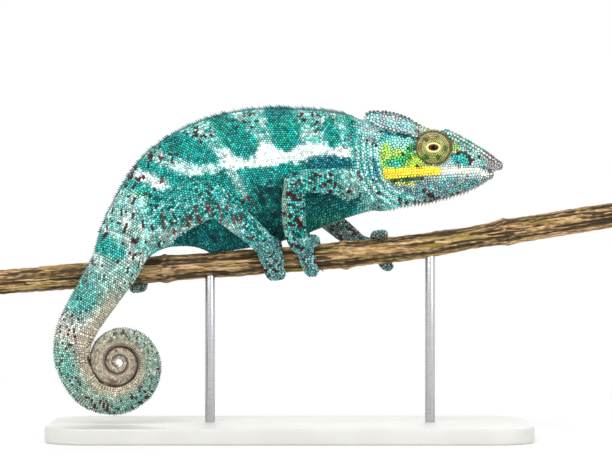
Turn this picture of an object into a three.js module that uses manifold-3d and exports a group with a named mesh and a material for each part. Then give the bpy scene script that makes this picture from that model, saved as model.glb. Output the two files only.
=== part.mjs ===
// A life-size adult male panther chameleon on a cut length of branch, held up by a plain display stand.
// Millimetres, +Z up. The animal faces +X, its right side is -Y and the stand's underside is at z = 0.
import * as THREE from 'three';
import { mergeVertices } from 'three/addons/utils/BufferGeometryUtils.js';
import Module from 'manifold-3d';

const wasm = await Module();
wasm.setup();

// ---------------------------------------------------------------- driving dimensions

const GAP = 0.3; // clearance between neighbouring pieces
const WELD = 1e-4; // vertices closer than this are one
const FACET = 0.15; // a face may stand this far off the exact surface

const PERCH = {
  halfLength: 157,
  radius: 6.1,
  flutes: 4,
  fluteDepth: 0.35,
  twist: 0.012, // radians per millimetre
  knots: [-70, 19.5, 99.5], // x of the joints along the branch
  knotRise: 0.7,
  knotWidth: 3.2,
};

const STAND = {
  centreX: -8,
  length: 240,
  width: 104,
  thickness: 8,
  corner: 22,
  bevel: 1.2,
  rodRadius: 2.5,
  rodX: [-48, 62],
  rodInBase: 6,
  rodInPerch: 3.5,
};

const COIL = {
  centre: new THREE.Vector3(-92.7, -16.5, 38.5),
  outerRadius: 31.1, // from the centre to the back of the tail where the coil starts
  shrinkPerTurn: 0.452, // each turn is this share of the one before
  turns: 3.3,
  stepsPerTurn: 8,
  widthShare: 0.262, // half the tail's width, as a share of the outer radius
};

const CREST = { spacing: 4.5, sides: 4, widthShare: 0.62 };

// ---------------------------------------------------------------- small helpers

const point = (x, y, z) => new THREE.Vector3(x, y, z);
const degrees = THREE.MathUtils.degToRad;
const AXIS_X = point(1, 0, 0);
const AXIS_Y = point(0, 1, 0);
const AXIS_Z = point(0, 0, 1);
const mirrored = (p) => point(p.x, -p.y, p.z);

/** A smooth value through evenly spaced keys, at a fractional index. */
function between(keys, index) {
  const last = keys.length - 1;
  const i = Math.min(Math.floor(Math.max(index, 0)), last - 1);
  const t = Math.min(Math.max(index, 0), last) - i;
  const [a, b, c, d] = [keys[Math.max(i - 1, 0)], keys[i], keys[i + 1], keys[Math.min(i + 2, last)]];
  const slopeB = (c - a) / 2;
  const slopeC = (d - b) / 2;
  const t2 = t * t;
  const t3 = t2 * t;
  return (2 * t3 - 3 * t2 + 1) * b + (t3 - 2 * t2 + t) * slopeB + (3 * t2 - 2 * t3) * c + (t3 - t2) * slopeC;
}

/** A closed solid from a geometry, turned right side out. */
function solidOf(geometry) {
  const bare = geometry.clone();
  bare.deleteAttribute('normal');
  bare.deleteAttribute('uv');
  const merged = mergeVertices(bare, WELD);
  const mesh = () => new wasm.Mesh({
    numProp: 3,
    vertProperties: new Float32Array(merged.attributes.position.array),
    triVerts: new Uint32Array(merged.index.array),
  });
  const made = new wasm.Manifold(mesh());
  if (made.volume() > 0) return made;
  const turned = merged.index.array;
  for (let i = 0; i < turned.length; i += 3) [turned[i + 1], turned[i + 2]] = [turned[i + 2], turned[i + 1]];
  return new wasm.Manifold(mesh());
}

/** A skin over rings of equal count, closed by a fan to a tip point at each end. */
function loft(rings, startTip, endTip) {
  const sides = rings[0].length;
  const points = [...rings.flat(), startTip, endTip];
  const start = points.length - 2;
  const end = points.length - 1;
  const lastRing = (rings.length - 1) * sides;
  const faces = [];
  for (let s = 0; s < sides; s++) {
    const next = (s + 1) % sides;
    faces.push(start, next, s, end, lastRing + s, lastRing + next);
    for (let r = 0; r < lastRing; r += sides) {
      faces.push(r + s, r + next, r + sides + next, r + s, r + sides + next, r + sides + s);
    }
  }
  const geometry = new THREE.BufferGeometry().setFromPoints(points);
  geometry.setIndex(faces);
  return solidOf(geometry);
}

/** The middle of a ring. */
const middle = (ring) => ring.reduce((sum, p) => sum.add(p), point(0, 0, 0)).divideScalar(ring.length);

/** A ring round a place: up and down extents along `up`, half width along `side`, pinched at top and bottom. */
function section(at, up, side, above, below, half, keel, sides) {
  return Array.from({ length: sides }, (_, i) => {
    const angle = (2 * Math.PI * i) / sides;
    const rise = Math.cos(angle);
    const spread = Math.sin(angle);
    return at.clone()
      .addScaledVector(up, rise * (rise > 0 ? above : below))
      .addScaledVector(side, Math.sign(spread) * Math.abs(spread) ** keel * half);
  });
}

/**
 * A round-ended limb along a path. Each station is [place, half width, half thickness]; the width runs
 * along `widthAxis` and the thickness square to it.
 */
function limb(stations, widthAxis, { sides = 10, steps = 2, grow = 0, caps = [50] } = {}) {
  const curve = new THREE.CatmullRomCurve3(stations.map(([place]) => place));
  const wide = stations.map(([, half]) => half + grow);
  const thick = stations.map(([, , half]) => half + grow);
  const last = stations.length - 1;
  const ringAt = (index, shift, share) => {
    const tangent = curve.getTangent(index / last);
    const side = widthAxis.clone().addScaledVector(tangent, -widthAxis.dot(tangent)).normalize();
    const up = tangent.clone().cross(side);
    const at = curve.getPoint(index / last).addScaledVector(tangent, shift);
    const half = between(thick, index) * share;
    return section(at, up, side, half, half, between(wide, index) * share, 1, sides);
  };
  const capAngles = caps.map(degrees);
  const capReach = (index) => Math.min(between(thick, index), between(wide, index));
  const rings = [];
  for (const a of capAngles) rings.push(ringAt(0, -capReach(0) * Math.sin(a), Math.cos(a)));
  for (let i = 0; i <= last * steps; i++) rings.push(ringAt(i / steps, 0, 1));
  for (const a of [...capAngles].reverse()) rings.push(ringAt(last, capReach(last) * Math.sin(a), Math.cos(a)));
  const tip = (index, sign) => curve.getPoint(index / last)
    .addScaledVector(curve.getTangent(index / last), sign * capReach(index));
  return loft(rings, tip(0, -1), tip(last, 1));
}

/** A cone from a base point along a direction. */
function spike(base, direction, radius, height, sides = CREST.sides) {
  const cone = new THREE.ConeGeometry(radius, height, sides);
  cone.translate(0, height / 2, 0);
  cone.applyQuaternion(new THREE.Quaternion().setFromUnitVectors(AXIS_Y, direction.clone().normalize()));
  cone.translate(base.x, base.y, base.z);
  return solidOf(cone);
}

const joined = (solids) => solids.reduce((all, one) => all.add(one));
const largest = (solid) => solid.decompose().sort((a, b) => b.volume() - a.volume())[0];

// ---------------------------------------------------------------- the branch

const perchCurve = new THREE.CatmullRomCurve3([
  point(-170, 0, 76.6), point(-129, 0, 79.8), point(-69, 0, 84.8), point(-28, 0, 87.8), point(9, 0, 90.7),
  point(51, 0, 95.2), point(93, 0, 101.8), point(135, 0, 108.6), point(170, 0, 114.4),
]);

/** Where the branch's axis is at an x, with its direction and its own upward direction. */
function perchFrame(x) {
  let low = 0;
  let high = 1;
  for (let i = 0; i < 30; i++) {
    const mid = (low + high) / 2;
    if (perchCurve.getPoint(mid).x < x) low = mid;
    else high = mid;
  }
  const at = perchCurve.getPoint(low);
  const along = perchCurve.getTangent(low);
  return { at, along, up: AXIS_Y.clone().cross(along).negate() };
}

/** The branch's radius at an x, with its swollen joints and a gentle waver. */
function perchRadius(x) {
  const knots = PERCH.knots.map((k) => Math.exp(-(((x - k) / PERCH.knotWidth) ** 2)));
  return PERCH.radius - 0.55 * Math.exp(-(((x - 84) / 16) ** 2)) + PERCH.knotRise * Math.max(...knots)
    + 0.12 * Math.sin(x / 7);
}

function branchSolid(grow) {
  const sides = PERCH.flutes * 3;
  const reach = PERCH.halfLength + 6;
  const rings = [];
  const count = 17;
  for (let i = 0; i <= count; i++) {
    const x = -reach + (2 * reach * i) / count;
    const { at, along, up } = perchFrame(x);
    const side = along.clone().cross(up);
    rings.push(Array.from({ length: sides }, (_, i) => {
      const angle = (2 * Math.PI * i) / sides;
      const flute = PERCH.fluteDepth * Math.cos(PERCH.flutes * angle + PERCH.twist * x);
      const radius = perchRadius(x) + flute + grow;
      return at.clone().addScaledVector(up, Math.cos(angle) * radius).addScaledVector(side, Math.sin(angle) * radius);
    }));
  }
  const whole = loft(rings, middle(rings[0]), middle(rings[rings.length - 1]));
  const saw = new THREE.BoxGeometry(2 * PERCH.halfLength, 60, 200);
  saw.translate(0, 0, 95);
  return whole.intersect(solidOf(saw));
}

const grownPerch = branchSolid(GAP);

// ---------------------------------------------------------------- the display stand

function baseSolid() {
  const plate = new THREE.Shape();
  const halfLength = STAND.length / 2 - STAND.bevel;
  const halfWidth = STAND.width / 2 - STAND.bevel;
  const r = STAND.corner;
  plate.moveTo(-halfLength + r, -halfWidth);
  plate.absarc(halfLength - r, -halfWidth + r, r, -Math.PI / 2, 0, false);
  plate.absarc(halfLength - r, halfWidth - r, r, 0, Math.PI / 2, false);
  plate.absarc(-halfLength + r, halfWidth - r, r, Math.PI / 2, Math.PI, false);
  plate.absarc(-halfLength + r, -halfWidth + r, r, Math.PI, 1.5 * Math.PI, false);
  const geometry = new THREE.ExtrudeGeometry(plate, {
    depth: STAND.thickness - 2 * STAND.bevel,
    bevelThickness: STAND.bevel,
    bevelSize: STAND.bevel,
    bevelSegments: 1,
    steps: 1,
    curveSegments: 3,
  });
  geometry.translate(STAND.centreX, 0, STAND.bevel);
  return solidOf(geometry);
}

function rodSolid(x, grow) {
  const foot = STAND.thickness - STAND.rodInBase;
  const { at } = perchFrame(x);
  const top = at.z - perchRadius(x) + STAND.rodInPerch;
  const height = top - foot + 2 * grow;
  const rod = new THREE.CylinderGeometry(STAND.rodRadius + grow, STAND.rodRadius + grow, height, 12);
  rod.rotateX(Math.PI / 2);
  rod.translate(x, 0, foot + height / 2 - grow);
  return solidOf(rod);
}

// ---------------------------------------------------------------- neck, trunk and tail

// Stations from the skull to the start of the coil: place, then the extents above and below the spine,
// half the width, the pinch of the back and belly, and the height of the crest.
const bodyStations = [
  { at: point(42, 0, 136.5), above: 15.5, below: 21.5, half: 11, keel: 1, crest: 0 },
  { at: point(31, 0, 136.5), above: 22, below: 23.4, half: 11.4, keel: 1.05, crest: 1.6 },
  { at: point(14.5, 0, 136), above: 26.8, below: 27.6, half: 12.6, keel: 1.12, crest: 2.2 },
  { at: point(-3, 0, 135), above: 29.2, below: 33.4, half: 14.6, keel: 1.15, crest: 2.2 },
  { at: point(-20.5, 0, 134), above: 30.4, below: 37.2, half: 16, keel: 1.15, crest: 2.1 },
  { at: point(-38, 0, 132), above: 29.6, below: 38, half: 16, keel: 1.15, crest: 1.9 },
  { at: point(-54, 0, 128), above: 27.1, below: 37, half: 14.6, keel: 1.14, crest: 1.7 },
  { at: point(-68, -0.5, 121), above: 23.6, below: 34, half: 13, keel: 1.12, crest: 1.5 },
  { at: point(-79.8, -4, 110), above: 18.4, below: 21.4, half: 12, keel: 1.1, crest: 1.3 },
  { at: point(-88.3, -10.5, 97.6), above: 15.3, below: 12.8, half: 11, keel: 1.06, crest: 1.1 },
  { at: point(-94.9, -16, 85.7), above: 11.9, below: 12.4, half: 10.2, keel: 1.03, crest: 1.0 },
  { at: point(-105.9, -17.6, 67.9), above: 10.4, below: 10.8, half: 9.2, keel: 1, crest: 0.9 },
  { at: point(-111.8, -17.4, 58), above: 9.9, below: 10.2, half: 8.8, keel: 1, crest: 0.9 },
  { at: point(-115.1, -17, 48), above: 9.3, below: 9.1, half: 8.4, keel: 1, crest: 0.8 },
];

/** The tail's outer radius round the coil's centre after some turns. */
const coilRadius = (turn) => COIL.outerRadius * COIL.shrinkPerTurn ** turn;

const coilStart = bodyStations.length;
for (let i = 0; i <= COIL.turns * COIL.stepsPerTurn; i++) {
  const turn = i / COIL.stepsPerTurn;
  const outer = coilRadius(turn);
  const inner = coilRadius(turn + 1) + GAP + 0.15;
  const angle = Math.PI + 2 * Math.PI * turn;
  const radius = (outer + inner) / 2;
  bodyStations.push({
    at: COIL.centre.clone().add(point(Math.cos(angle) * radius, 0, Math.sin(angle) * radius)),
    above: (outer - inner) / 2,
    below: (outer - inner) / 2,
    half: COIL.widthShare * outer,
    keel: 1,
    crest: 0.75 * COIL.shrinkPerTurn ** turn,
  });
}

const spine = new THREE.CatmullRomCurve3(bodyStations.map(({ at }) => at));
const lastStation = bodyStations.length - 1;
const stationKeys = (name) => bodyStations.map((s) => s[name]);
const bodyKeys = Object.fromEntries(['above', 'below', 'half', 'keel', 'crest'].map((n) => [n, stationKeys(n)]));

const spineShare = (index) => THREE.MathUtils.clamp(index / lastStation, 0, 1);

/** The spine's frame at a station index: place, tailward direction, upward direction and side. */
function spineFrame(index) {
  const at = spine.getPoint(spineShare(index));
  const tangent = spine.getTangent(spineShare(index));
  const side = AXIS_Y.clone().addScaledVector(tangent, -AXIS_Y.dot(tangent)).normalize();
  return { at, tangent, side, up: side.clone().cross(tangent) };
}

function bodyRing(index, sides, grow) {
  const { at, side, up } = spineFrame(index);
  const of = (name) => between(bodyKeys[name], index);
  return section(at, up, side, of('above') + grow, of('below') + grow, of('half') + grow, of('keel'), sides);
}

/** A length of the body between two station indexes, with small crest scales along its back. */
function bodyLength(from, to, { sides, steps, grow = 0, crestEvery = CREST.spacing }) {
  const speed = (index) => spine.getPoint(spineShare(index + 0.05))
    .distanceTo(spine.getPoint(spineShare(index - 0.05))) / 0.1;
  const trim = GAP / 2 - grow;
  const start = from + trim / speed(from + 0.2);
  const end = to - trim / speed(to - 0.2);
  const count = Math.round((to - from) * steps);
  const rings = Array.from({ length: count + 1 }, (_, i) => bodyRing(start + ((end - start) * i) / count, sides, grow));
  const solid = loft(rings, middle(rings[0]), middle(rings[count]));
  if (grow) return solid;
  const spikes = [];
  for (let index = start + 0.05; index < end - 0.03; index += crestEvery / speed(index)) {
    const height = between(bodyKeys.crest, index);
    if (height < 0.7) continue;
    const { at, up, tangent } = spineFrame(index);
    const lean = up.clone().addScaledVector(tangent, 0.25);
    const sink = 0.6;
    const base = at.addScaledVector(up, between(bodyKeys.above, index) - sink);
    spikes.push(spike(base, lean, Math.max(0.75, height * CREST.widthShare * 0.7), height + sink));
  }
  return joined([solid, ...spikes]);
}

const bodyNodes = [
  { name: 'neck', from: 0, to: 1.95, sides: 14, steps: 2 },
  { name: 'trunk', from: 1.95, to: 7.45, sides: 18, steps: 2 },
  { name: 'tail_base', from: 7.45, to: 10.1, sides: 14, steps: 2 },
  { name: 'tail_middle', from: 10.1, to: coilStart + 0.2, sides: 12, steps: 2 },
  { name: 'tail_coil_lower', from: coilStart + 0.2, to: coilStart + 3.6, sides: 10, steps: 2.6, crestEvery: 3.4 },
  { name: 'tail_coil_upper', from: coilStart + 3.6, to: coilStart + 7.6, sides: 10, steps: 2.3, crestEvery: 99 },
  { name: 'tail_coil_inner', from: coilStart + 7.6, to: coilStart + 14.5, sides: 8, steps: 1.8, crestEvery: 99 },
  { name: 'tail_tip', from: coilStart + 14.5, to: lastStation, sides: 6, steps: 1.6, crestEvery: 99 },
];

// ---------------------------------------------------------------- the head

// Stations along the snout: [x, top, bottom, half width] of the upper head and of the lower jaw.
const skullStations = [
  [32, 154, 129.2, 8.5], [38, 155.4, 128.5, 13], [46, 155, 128.9, 14.4], [54, 154, 129.9, 13.7], [62, 152.8, 130.7, 12],
  [70, 150.8, 131.3, 10.6], [78, 147.6, 131.9, 9.1], [86, 142.8, 132.5, 7.1], [91.5, 138.6, 132.9, 4.8],
];
const jawStations = [
  [33, 128.3, 114, 9], [38, 128.1, 113.2, 12.6], [46, 128.5, 115.2, 14.1], [54, 129.5, 116.7, 13.3], [62, 130.3, 118, 11.7],
  [70, 130.9, 119.9, 10.1], [78, 131.5, 122.3, 8.4], [86, 132.1, 125.8, 6.3], [91, 132.4, 129, 4.2],
];

const LIP_SQUARENESS = 0.38;

/** A box-like round-cornered loft along x through such stations, squarer on its mouth side: 1 above or -1 below. */
function headLoft(stations, squareness, mouthSide, grow, sides = 12) {
  const keysOf = (column) => stations.map((s) => s[column]);
  const [xs, tops, bottoms, halves] = [0, 1, 2, 3].map(keysOf);
  const last = stations.length - 1;
  const steps = 1;
  const ringAt = (index, shift, share) => {
    const top = between(tops, index) + grow;
    const bottom = between(bottoms, index) - grow;
    const centre = (top + bottom) / 2;
    const tall = ((top - bottom) / 2) * share;
    const half = (between(halves, index) + grow) * share;
    return Array.from({ length: sides }, (_, i) => {
      const angle = (2 * Math.PI * i) / sides;
      const power = Math.cos(angle) * mouthSide > 0.01 ? LIP_SQUARENESS : squareness;
      const soften = (v) => Math.sign(v) * Math.abs(v) ** power;
      return point(between(xs, index) + shift, soften(Math.sin(angle)) * half, centre + soften(Math.cos(angle)) * tall);
    });
  };
  const noseReach = halves[last] * 0.62 + grow;
  const rearReach = 1.5 + grow;
  const rings = [ringAt(0, -rearReach, 0.72)];
  for (let i = 0; i <= last * steps; i++) rings.push(ringAt(i / steps, 0, 1));
  rings.push(ringAt(last, noseReach * 0.62, 0.8), ringAt(last, noseReach * 0.92, 0.5));
  const nose = middle(rings[rings.length - 1]).add(point(noseReach * 0.08, 0, 0));
  return loft(rings, middle(rings[0]), nose);
}

// The helmet behind the eyes: [x, ridge height, height of the side crest, half width at the side crest].
const casqueStations = [
  [29.6, 162.2, 160.6, 1.1], [31.5, 163.2, 159.2, 2.7], [35, 163.6, 156.9, 5.6], [39, 163.5, 155, 8.3], [45, 162.4, 153, 11.2],
  [51, 159.9, 151.3, 12.7], [57, 156.4, 150, 12.9], [63, 154, 149.4, 11.6],
];

/** The helmet: a steep roof with a narrow ridge and an overhanging crest along each side. */
function casqueSolid(grow) {
  const steps = 1;
  const last = casqueStations.length - 1;
  const rings = Array.from({ length: last * steps + 1 }, (_, i) => {
    const [x, ridge, crest, half] = [0, 1, 2, 3].map((c) => between(casqueStations.map((s) => s[c]), i / steps));
    const ridgeHalf = Math.min(0.9, half * 0.5) + grow;
    const lip = Math.min(1.8, (ridge - crest) * 0.5 + 0.3);
    const outline = [
      [ridgeHalf, ridge + grow], [half * 0.62 + grow, crest + (ridge - crest) * 0.42 + grow],
      [half + grow, crest + grow], [half + grow, crest - lip], [half * 0.55, crest - 2 * lip - grow],
    ];
    const left = outline.map(([y, z]) => point(x, y, z));
    return [...left, ...left.map(mirrored).reverse()];
  });
  return loft(rings, middle(rings[0]), middle(rings[rings.length - 1]));
}

/** The raised bony rim that runs over both eyes and meets in a shovel past the snout. */
function rostralRim(grow) {
  const right = [
    [point(57, -9.6, 151.4), 1.5, 1.5], [point(64, -9.4, 152), 1.7, 1.7], [point(71, -9, 151.8), 1.8, 1.8],
    [point(79, -8, 147.9), 1.8, 1.8], [point(87, -6.6, 143.1), 1.8, 1.9], [point(93, -4.8, 138.7), 1.8, 1.9],
  ];
  const tip = [point(96.6, 0, 136), 2, 1.9];
  const left = right.map(([place, wide, thick]) => [mirrored(place), wide, thick]).reverse();
  return limb([...right, tip, ...left], AXIS_Z, { sides: 6, steps: 1, grow });
}

/** The flat plate of the shovel between the two rims. */
const shovelPlate = (grow) => limb(
  [
    [point(58, 0, 151.6), 9.4, 2.6], [point(66, 0, 150.9), 9.2, 2.6], [point(74, 0, 148.6), 8.6, 2.6],
    [point(82, 0, 144.5), 7.4, 2.4], [point(89, 0, 140.1), 5.8, 2.2], [point(94.8, 0, 136.6), 3.4, 1.9],
  ],
  AXIS_Y,
  { sides: 8, steps: 1, grow },
);

const EYE = {
  centre: point(63, -8.4, 144.8),
  turretRadius: 9.8,
  turretHeight: 8.9,
  ballRadius: 4.6,
  ballDepth: 0.6, // the eyeball's pole lies this far inside the turret's
  apertureWide: 2.3,
  apertureTall: 1.6,
};

/** A turret about its own outward axis, which is turned to -Y; the whole is an egg, flatter inside. */
function turretBlank(grow) {
  const r = EYE.turretRadius + grow;
  const h = EYE.turretHeight + grow;
  const steps = 8;
  const profile = Array.from({ length: steps + 1 }, (_, i) => {
    const angle = (Math.PI * i) / steps;
    const depth = -Math.cos(angle) * (angle > Math.PI / 2 ? h : h * 0.5);
    const pinch = angle > Math.PI / 2 ? 1 - 0.1 * Math.sin(2 * angle - Math.PI) : 1;
    return new THREE.Vector2(i % steps === 0 ? 0 : Math.sin(angle) * r * pinch, depth);
  });
  const lathe = new THREE.LatheGeometry(profile, 16);
  lathe.rotateZ(Math.PI);
  return solidOf(lathe);
}

/** A solid made on the right side of the head, or its copy on the left. */
const onSide = (solid, side) => (side === 'right' ? solid : solid.mirror([0, 1, 0]));

function turretSolid(grow) {
  return turretBlank(grow).scale([1, 1, 0.93]).translate([EYE.centre.x, EYE.centre.y, EYE.centre.z]);
}

function ballSolid(grow) {
  const ball = new THREE.SphereGeometry(EYE.ballRadius + grow, 10, 7);
  ball.rotateX(Math.PI / 2);
  ball.translate(EYE.centre.x, EYE.centre.y - EYE.turretHeight + EYE.ballDepth + EYE.ballRadius, EYE.centre.z);
  return solidOf(ball);
}

/** The lid's slit, cut through the turret's outer end. */
function apertureSolid() {
  const cut = new THREE.CylinderGeometry(0.85, 1.15, EYE.ballRadius, 10);
  cut.scale(EYE.apertureWide, 1, EYE.apertureTall);
  cut.translate(EYE.centre.x, EYE.centre.y - EYE.turretHeight, EYE.centre.z);
  return solidOf(cut);
}

const skullBlank = (grow) => joined([
  headLoft(skullStations, 0.8, -1, grow), casqueSolid(grow), rostralRim(grow), shovelPlate(grow),
]);
const bothTurrets = joined(['right', 'left'].map((side) => onSide(turretSolid(GAP), side)));

function jawSolid() {
  const chin = headLoft(jawStations, 0.78, 1, 0);
  const spikes = [];
  for (let x = 45; x <= 84; x += 3.4) {
    const index = (x - jawStations[1][0]) / 8 + 1;
    const bottom = between(jawStations.map((s) => s[2]), index);
    const height = 1.6 - 0.02 * Math.abs(x - 62);
    spikes.push(spike(point(x, 0, bottom + 0.8), point(-0.2, 0, -1), 0.8, height + 0.8));
  }
  return joined([chin, ...spikes]);
}

// ---------------------------------------------------------------- legs and feet

const CLEAR = GAP + PERCH.fluteDepth + 0.2; // a toe's clearance from the branch's mean radius

// A point round the branch: angle 0 is its top and 90 degrees its right side, away from its axis by `out`.
function gripPoint(x, angle, out) {
  const { at, up } = perchFrame(x);
  const reach = perchRadius(x) + out;
  return at.clone()
    .addScaledVector(up, Math.cos(degrees(angle)) * reach)
    .addScaledVector(AXIS_Y, -Math.sin(degrees(angle)) * reach);
}

/** The outline of a bundle of toes, square to the toes: [place across the bundle, height over the branch]. */
function bundleOutline(toes, spacing, thick) {
  const edge = (spacing * (toes - 1)) / 2 + thick * 0.95;
  const outline = [[edge * 0.8, 0], [edge, thick * 0.9]];
  for (let toe = toes - 1; toe >= 0; toe--) {
    const middleOfToe = (toe - (toes - 1) / 2) * spacing;
    outline.push([middleOfToe + spacing * 0.24, thick * 2], [middleOfToe - spacing * 0.24, thick * 2]);
    if (toe > 0) outline.push([middleOfToe - spacing / 2, thick * 1.55]);
  }
  return [...outline, [-edge, thick * 0.9], [-edge * 0.8, 0]];
}

/** One bundle of toes, grown together, bent round the branch between two angles, with a claw on each toe. */
function toeBundle({ x, drift, from, to, toes, spacing = 3.3, thick = 2.5 }) {
  const outline = bundleOutline(toes, spacing, thick);
  const placeOn = (share, across, out) => gripPoint(x + drift * share + across, from + (to - from) * share, out + CLEAR);
  const profile = [[0, 1, 0.9], [0.2, 1.04, 1], [0.4, 0.97, 0.94], [0.6, 0.89, 0.9], [0.8, 0.81, 0.9], [0.94, 0.74, 0.72]];
  const rings = profile.map(([share, wide, tall]) => outline.map(([across, out]) => placeOn(share, across * wide, out * tall)));
  const parts = [loft(rings, placeOn(-0.02, 0, thick * 0.9), placeOn(1, 0, thick * 0.6))];
  for (let toe = 0; toe < toes; toe++) {
    const across = (toe - (toes - 1) / 2) * spacing * 0.94;
    const root = placeOn(0.92, across * 0.76, thick * 0.95);
    const tip = placeOn(1.13, across * 0.84, thick * 0.35);
    parts.push(spike(root, tip.clone().sub(root), 0.95, root.distanceTo(tip)));
  }
  return joined(parts);
}

// Each leg on its own side: shoulder or hip, elbow or knee, wrist or ankle, then its grip on the branch.
// A bend is [place, half width across the body, half thickness].
const LEGS = [
  {
    name: 'foreleg_right',
    upper: [[point(22, -9, 127), 6, 7], [point(13, -16.5, 127.8), 6.2, 6.3], [point(2, -20.4, 128.3), 5.8, 5.9],
      [point(-5, -20.6, 128.2), 5.3, 5.4]],
    lower: [[point(-5.8, -20.4, 127.6), 5.1, 5.4], [point(-6.2, -19.4, 117), 5.2, 5.9], [point(-5.6, -16, 106), 4.9, 5.8],
      [point(-4, -12.6, 98.5), 4.6, 5.4]],
    palm: [[point(-3.8, -12.2, 98), 4.8, 5.4], [gripPoint(-0.4, 44, 3.6), 4.2, 5.6]],
    bundles: [
      { x: -0.6, drift: 3.2, from: 40, to: 158, toes: 2, thick: 2.7, spacing: 3.6 },
      { x: 1.2, drift: 4, from: 50, to: -140, toes: 3, thick: 2.4, spacing: 2.9 },
    ],
  },
  {
    name: 'hindleg_right',
    upper: [[point(-75, -7, 108), 7, 12], [point(-65, -12.6, 113.4), 6.8, 11.4], [point(-55, -16.8, 117.4), 6.2, 10.8],
      [point(-46.5, -18.8, 119.4), 5.6, 9.4]],
    lower: [[point(-44.6, -18.7, 118.4), 5.4, 7.8], [point(-35.6, -17.6, 110.6), 5.3, 6.8], [point(-27, -14.4, 103.2), 4.8, 6.2],
      [point(-20.9, -12.2, 97.4), 4.6, 5.8]],
    palm: [[point(-20, -12.2, 97), 4.8, 5.8], [gripPoint(-17.6, 58, 3.6), 4, 6.4]],
    bundles: [
      { x: -17.8, drift: 2.8, from: 50, to: 169, toes: 3, thick: 2.6, spacing: 3.5 },
      { x: -17, drift: 4.5, from: 58, to: -140, toes: 2, thick: 2.4, spacing: 3 },
    ],
  },
  {
    name: 'foreleg_left',
    upper: [[point(22, 9, 125.5), 6, 7], [point(15, 15.5, 122.5), 6, 6.2], [point(8, 19, 118.8), 5.6, 5.8],
      [point(3.8, 19.6, 116.2), 5.2, 5.3]],
    lower: [[point(4, 19.5, 115.6), 5, 5.3], [point(12, 18.2, 109), 5, 5.6], [point(20, 15.8, 102.6), 4.6, 5.3],
      [point(27, 13, 97.4), 4.1, 4.6]],
    palm: [[point(27.6, 12.8, 97), 4.2, 4.4], [gripPoint(35.5, -82, 3.4), 3.4, 5.2]],
    bundles: [
      { x: 36.8, drift: 1, from: -78, to: 36, toes: 3, thick: 2.3, spacing: 3 },
      { x: 37, drift: 3.6, from: -100, to: -206, toes: 2, thick: 2.1, spacing: 2.9 },
    ],
  },
  {
    name: 'hindleg_left',
    upper: [[point(-75, 5, 109), 7, 10.5], [point(-69.5, 11.5, 112.4), 6.4, 8.8], [point(-63.5, 16.6, 113.6), 5.8, 7.2],
      [point(-58, 19.2, 112.4), 5.3, 6]],
    lower: [[point(-61, 19.2, 111), 5.2, 5.8], [point(-71, 18, 105.4), 5, 5.6], [point(-79, 15.6, 99.2), 4.6, 5.1],
      [point(-84.5, 13.2, 93), 4.2, 4.7]],
    palm: [[point(-84.8, 13, 92.4), 4.4, 4.8], [gripPoint(-84, -90, 3.4), 3.6, 5.4]],
    bundles: [
      { x: -82.6, drift: 1, from: -78, to: 24, toes: 2, thick: 2.3, spacing: 3 },
      { x: -84.4, drift: -0.6, from: -104, to: -196, toes: 3, thick: 2.3, spacing: 2.9 },
    ],
  },
];

const grownTrunk = joined(bodyNodes.slice(0, 4).map(({ from, to, sides, steps }) => bodyLength(
  from - 0.1,
  to + 0.1,
  { sides, steps, grow: GAP + FACET },
)));

/** The three solids of a leg: upper part, lower part and foot, each cut clear of its neighbours. */
function legSolids({ upper, lower, palm, bundles }) {
  const upperSolid = limb(upper, AXIS_Y).subtract(grownTrunk);
  const lowerSolid = limb(lower, AXIS_Y).subtract(limb(upper, AXIS_Y, { grow: GAP + FACET })).subtract(grownTrunk);
  const grasp = joined([limb(palm, AXIS_Y, { sides: 8, steps: 1 }).subtract(grownPerch), ...bundles.map(toeBundle)]);
  const foot = grasp.subtract(limb(lower, AXIS_Y, { grow: GAP + FACET })).subtract(grownTrunk);
  return [upperSolid, lowerSolid, foot].map(largest);
}

// ---------------------------------------------------------------- finishes and the scene graph

const FINISHES = {
  skin: new THREE.MeshStandardMaterial({ color: 0x35a898, roughness: 0.62, metalness: 0 }),
  casque: new THREE.MeshStandardMaterial({ color: 0x9bbcb0, roughness: 0.6, metalness: 0 }),
  turret: new THREE.MeshStandardMaterial({ color: 0xa9a552, roughness: 0.55, metalness: 0 }),
  eyeball: new THREE.MeshStandardMaterial({ color: 0x120c0a, roughness: 0.08, metalness: 0 }),
  bark: new THREE.MeshStandardMaterial({ color: 0x8f7352, roughness: 0.88, metalness: 0 }),
  board: new THREE.MeshStandardMaterial({ color: 0xd9d7d1, roughness: 0.5, metalness: 0 }),
  steel: new THREE.MeshStandardMaterial({ color: 0xb9bbbd, roughness: 0.3, metalness: 1 }),
};

const chameleon = new THREE.Group();

function place(name, solid, finish) {
  const { vertProperties, triVerts } = largest(solid.asOriginal().simplify(FACET)).getMesh();
  const geometry = new THREE.BufferGeometry();
  geometry.setAttribute('position', new THREE.BufferAttribute(vertProperties, 3));
  geometry.setIndex(new THREE.BufferAttribute(triVerts, 1));
  geometry.computeVertexNormals();
  const mesh = new THREE.Mesh(geometry, finish);
  mesh.name = name;
  chameleon.add(mesh);
}

const skull = skullBlank(0).subtract(bothTurrets);
const grownHead = joined([skullBlank(GAP), headLoft(jawStations, 0.78, 1, GAP)]);
place('head', largest(skull), FINISHES.casque);
place('lower_jaw', largest(jawSolid().subtract(skullBlank(GAP)).subtract(bothTurrets)), FINISHES.skin);

for (const side of ['right', 'left']) {
  const turret = turretSolid(0).subtract(ballSolid(GAP)).subtract(apertureSolid());
  place(`eye_turret_${side}`, onSide(largest(turret), side), FINISHES.turret);
  place(`eyeball_${side}`, onSide(ballSolid(0), side), FINISHES.eyeball);
}

for (const { name, from, to, ...detail } of bodyNodes) {
  let solid = bodyLength(from, to, detail).subtract(grownPerch);
  if (name === 'neck') solid = solid.subtract(grownHead).subtract(bothTurrets);
  place(name, largest(solid), FINISHES.skin);
}

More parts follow.
